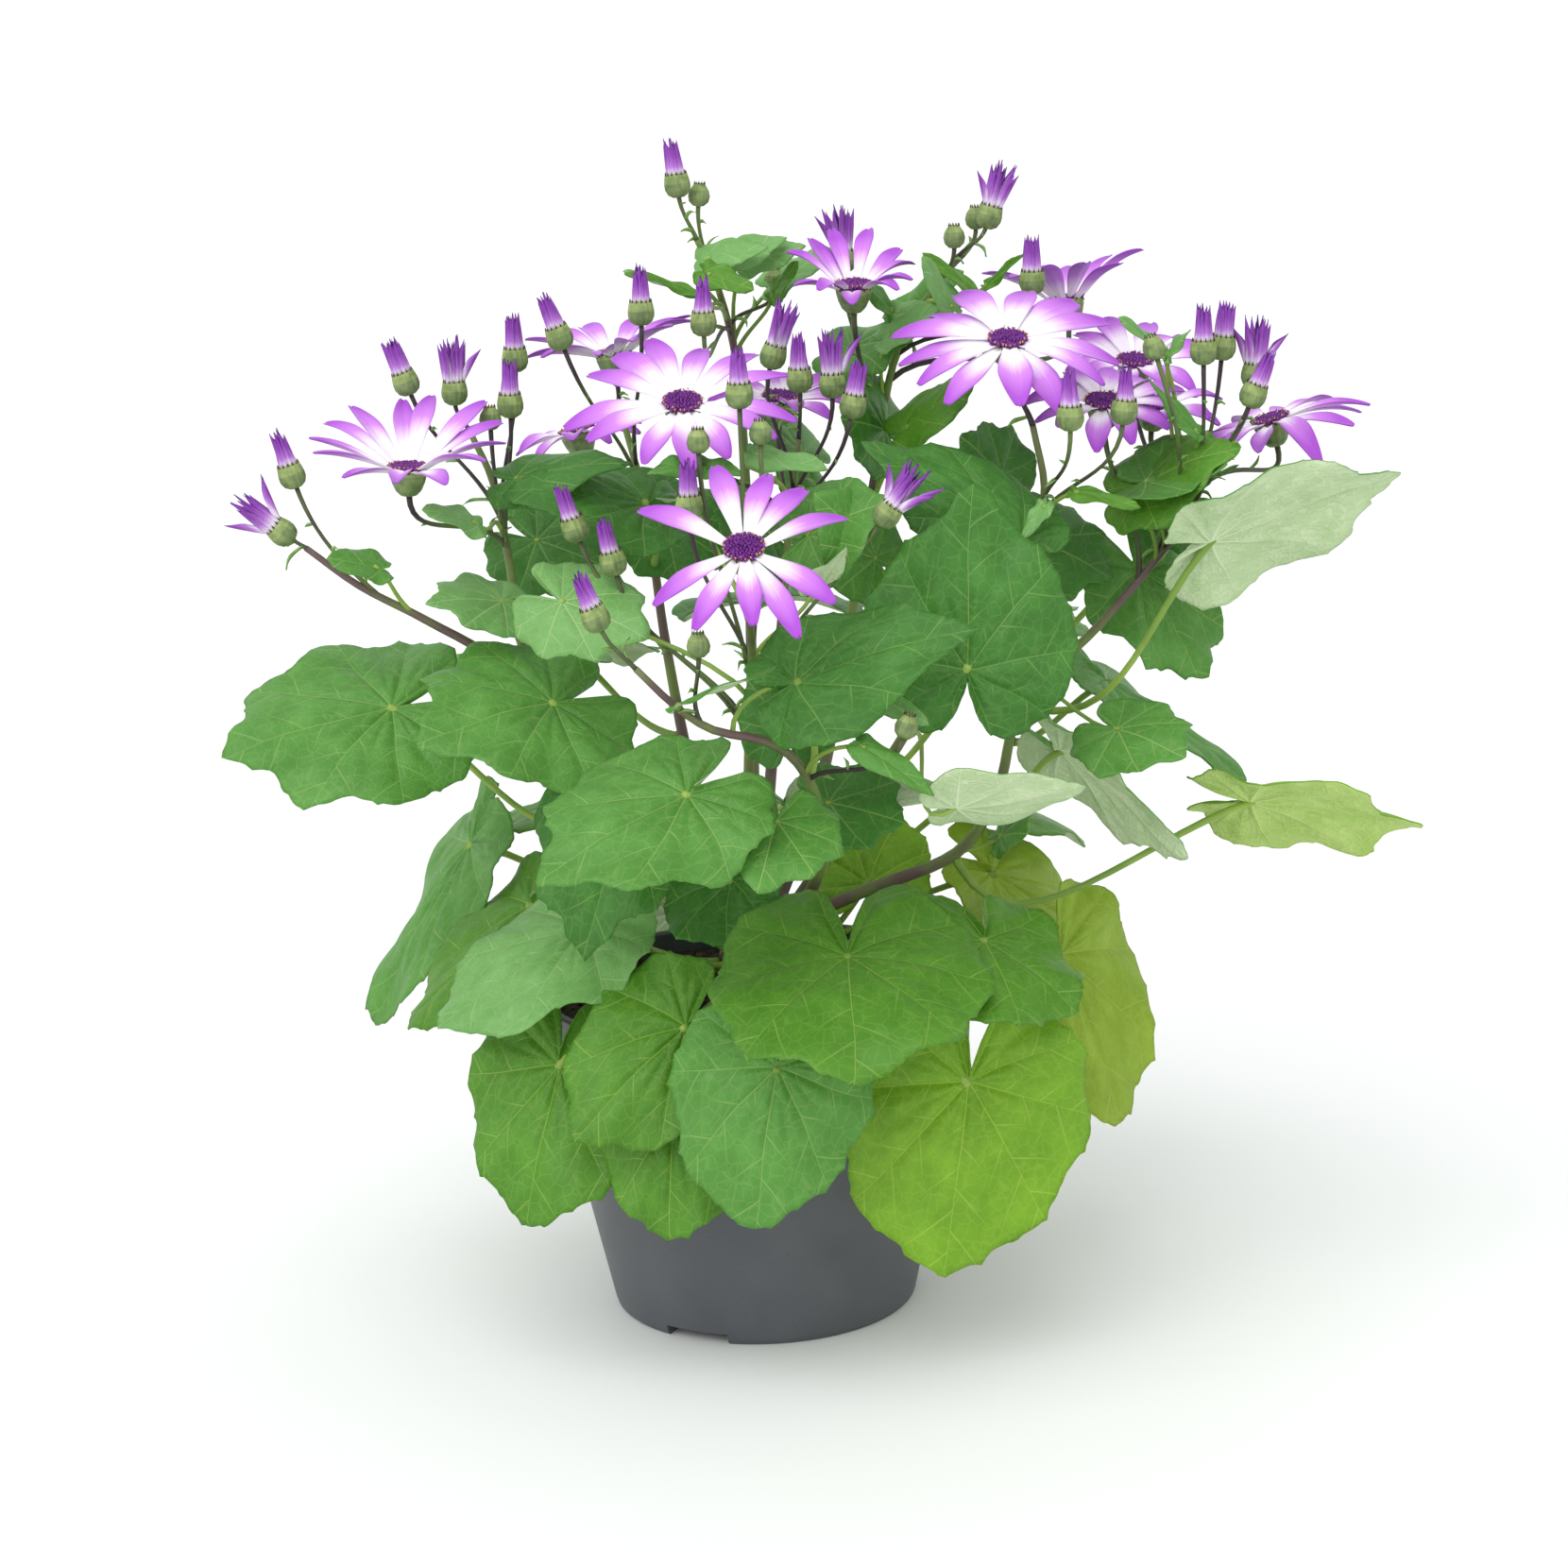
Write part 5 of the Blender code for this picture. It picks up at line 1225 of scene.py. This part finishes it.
def addSoil():
    inner, well = rim["radius"] - pot["rimWidth"] - soilShape["gap"], soilShape["well"]
    bm = bmesh.new()
    verts = bmesh.ops.create_grid(bm, x_segments=soilShape["around"], y_segments=soilShape["rings"],
                                  size=1)["verts"]
    for vert in verts:
        turn, share = vert.co.x * pi, (vert.co.y + 1) / 2
        radius = well + (inner - well) * share
        place = Vector((radius * cos(turn), radius * sin(turn), soilLevel(share)))
        place.z += noise.fractal(place * 0.11, 0.9, 2.1, 4) * 1.6 * (1 - share ** 8)
        vert.co = place * mm
    bmesh.ops.remove_doubles(bm, verts=bm.verts[:], dist=0.02 * mm)
    border = [edge for edge in bm.edges if edge.is_boundary]
    outside = [edge for edge in border if edge.verts[0].co.xy.length > 50 * mm]
    inside = [edge for edge in border if edge not in outside]
    for edges, rings in ((outside, soilShape["body"]), (inside, [(well, crown["bottom"])])):
        for radius, height in rings:
            fresh, edges, _ = nextRing(bm, edges)
            for vert in fresh:
                vert.co = (*vert.co.xy.normalized() * radius * mm, height * mm)
        bmesh.ops.contextual_create(bm, geom=edges)
    bmesh.ops.recalc_face_normals(bm, faces=bm.faces[:])
    for i in range(soilShape["crumbs"]):
        radius = 17 + (inner - 20) * sqrt(chance(i * 3 + 1))
        turn = chance(i * 3 + 2) * 2 * pi
        level = soilLevel((radius - well) / (inner - well)) + 0.4
        size = 0.8 + chance(i * 3 + 3) ** 3 * 2.6
        spot = Matrix.Translation(vec((radius * cos(turn), radius * sin(turn), level)))
        tumble = Matrix.Rotation(chance(i) * 6, 4, Vector((chance(i + 5), chance(i + 6), 0.3)))
        squash = Matrix.Diagonal((*vec((size, size * (0.6 + 0.3 * chance(i + 9)), size * 0.6)), 1))
        crumb = bmesh.ops.create_icosphere(bm, subdivisions=1, radius=1,
                                           matrix=spot @ tumble @ squash)["verts"]
        paint(facesOf(crumb), 1 if chance(i + 0.5) > 0.8 else 0)
    for i in range(soilShape["fibres"]):
        radius, turn = 18 + 58 * sqrt(chance(i * 7 + 3)), chance(i * 7 + 4) * 2 * pi
        middle = vec((radius * cos(turn), radius * sin(turn), soilLevel(radius / inner) + 0.9))
        way = Vector((cos(chance(i) * 6), sin(chance(i) * 6), swing(i, 0.15)))
        half = way * (3 + 5 * chance(i + 2)) * mm
        path = [middle - half, middle + vec((0, 0, 0.8)), middle + half]
        addTube(bm, path, soilShape["fibreRadii"], soilShape["fibreSides"], 1)
    finishes = (mottledFinish("moistPeat", "#1d1512", "#3a2a20", **soilLook),
                mottledFinish("barkFines", "#4a3626", "#7a5c3e", **soilLook))
    addPiece("soil", bm, finishes, "soil", "potting_soil")


def addCrown():
    # The stub that the stems leave: wood grown over with bark, brown turning green, rough and dull
    radius, top, bottom = crown["radius"], crown["top"], crown["bottom"]
    profile = [(0, top), (radius * 0.7, top), (radius - 0.8, top - 0.8), (radius - 0.2, top - 3),
               (radius - 0.4, bottom + 12), (radius, bottom), (0, bottom)]
    bm = bmesh.new()
    spun(bm, profile, crown["steps"])
    bmesh.ops.subdivide_edges(bm, edges=bm.edges[:], cuts=2, use_grid_fill=True)
    for vert in bm.verts:
        vert.co *= 1 - crown["roughness"] * abs(noise.noise(vert.co * 260))
    finish = mottledFinish("barkedStub", "#5b4a3a", "#7c7a4e", 6.25, 0.8, bump=(0.3, 1.0))
    addPiece("stub", bm, (finish,), "root_stub", "root_crown")


addSoil()
addCrown()
print("soil and crown made")


# Floor, light and camera. The camera stands at place, looks down by dip degrees and leans by roll degrees.
photo = {"place": (14, -1350, 525), "dip": 13.3, "roll": 2.0, "lens": 82.8, "sensor": 36}


def addFloor():
    bm = bmesh.new()
    bmesh.ops.create_grid(bm, x_segments=2, y_segments=2, size=60)
    finish, _, shader = newFinish("paleFloor", 0.75)
    shader.inputs["Base Color"].default_value = linearColour("#f1f2f1")
    newObject("floor", bm, (finish,))


def addSun(name, place, power, spread):
    lamp = bpy.data.lights.new(name, "SUN")
    lamp.energy, lamp.angle = power, radians(spread)
    light = bpy.data.objects.new(name, lamp)
    light.rotation_euler = Vector(place).to_track_quat("Z", "Y").to_euler()
    bpy.context.scene.collection.objects.link(light)


def addCamera():
    dip, roll = radians(photo["dip"]), radians(photo["roll"])
    forward = Vector((0, cos(dip), -sin(dip)))
    level, rise = Vector((1, 0, 0)), Vector((0, sin(dip), cos(dip)))
    right = level * cos(roll) - rise * sin(roll)
    up = level * sin(roll) + rise * cos(roll)
    data = bpy.data.cameras.new("camera")
    data.lens, data.sensor_width = photo["lens"], photo["sensor"]
    camera = bpy.data.objects.new("camera", data)
    turn = Matrix((right, up, -forward)).transposed().to_4x4()
    camera.matrix_world = Matrix.Translation(vec(photo["place"])) @ turn
    bpy.context.scene.collection.objects.link(camera)
    bpy.context.scene.camera = camera


addFloor()
addSun("softKey", (-0.45, -0.7, 1.0), 1.35, 60)
world = bpy.data.worlds.new("studio")
world.use_nodes = True
backdrop = world.node_tree.nodes["Background"]
backdrop.inputs["Color"].default_value = linearColour("#f4f6f6")
backdrop.inputs["Strength"].default_value = 1.04
bpy.context.scene.world = world
bpy.context.scene.view_settings.view_transform = "Standard"
addCamera()
print("stage made")
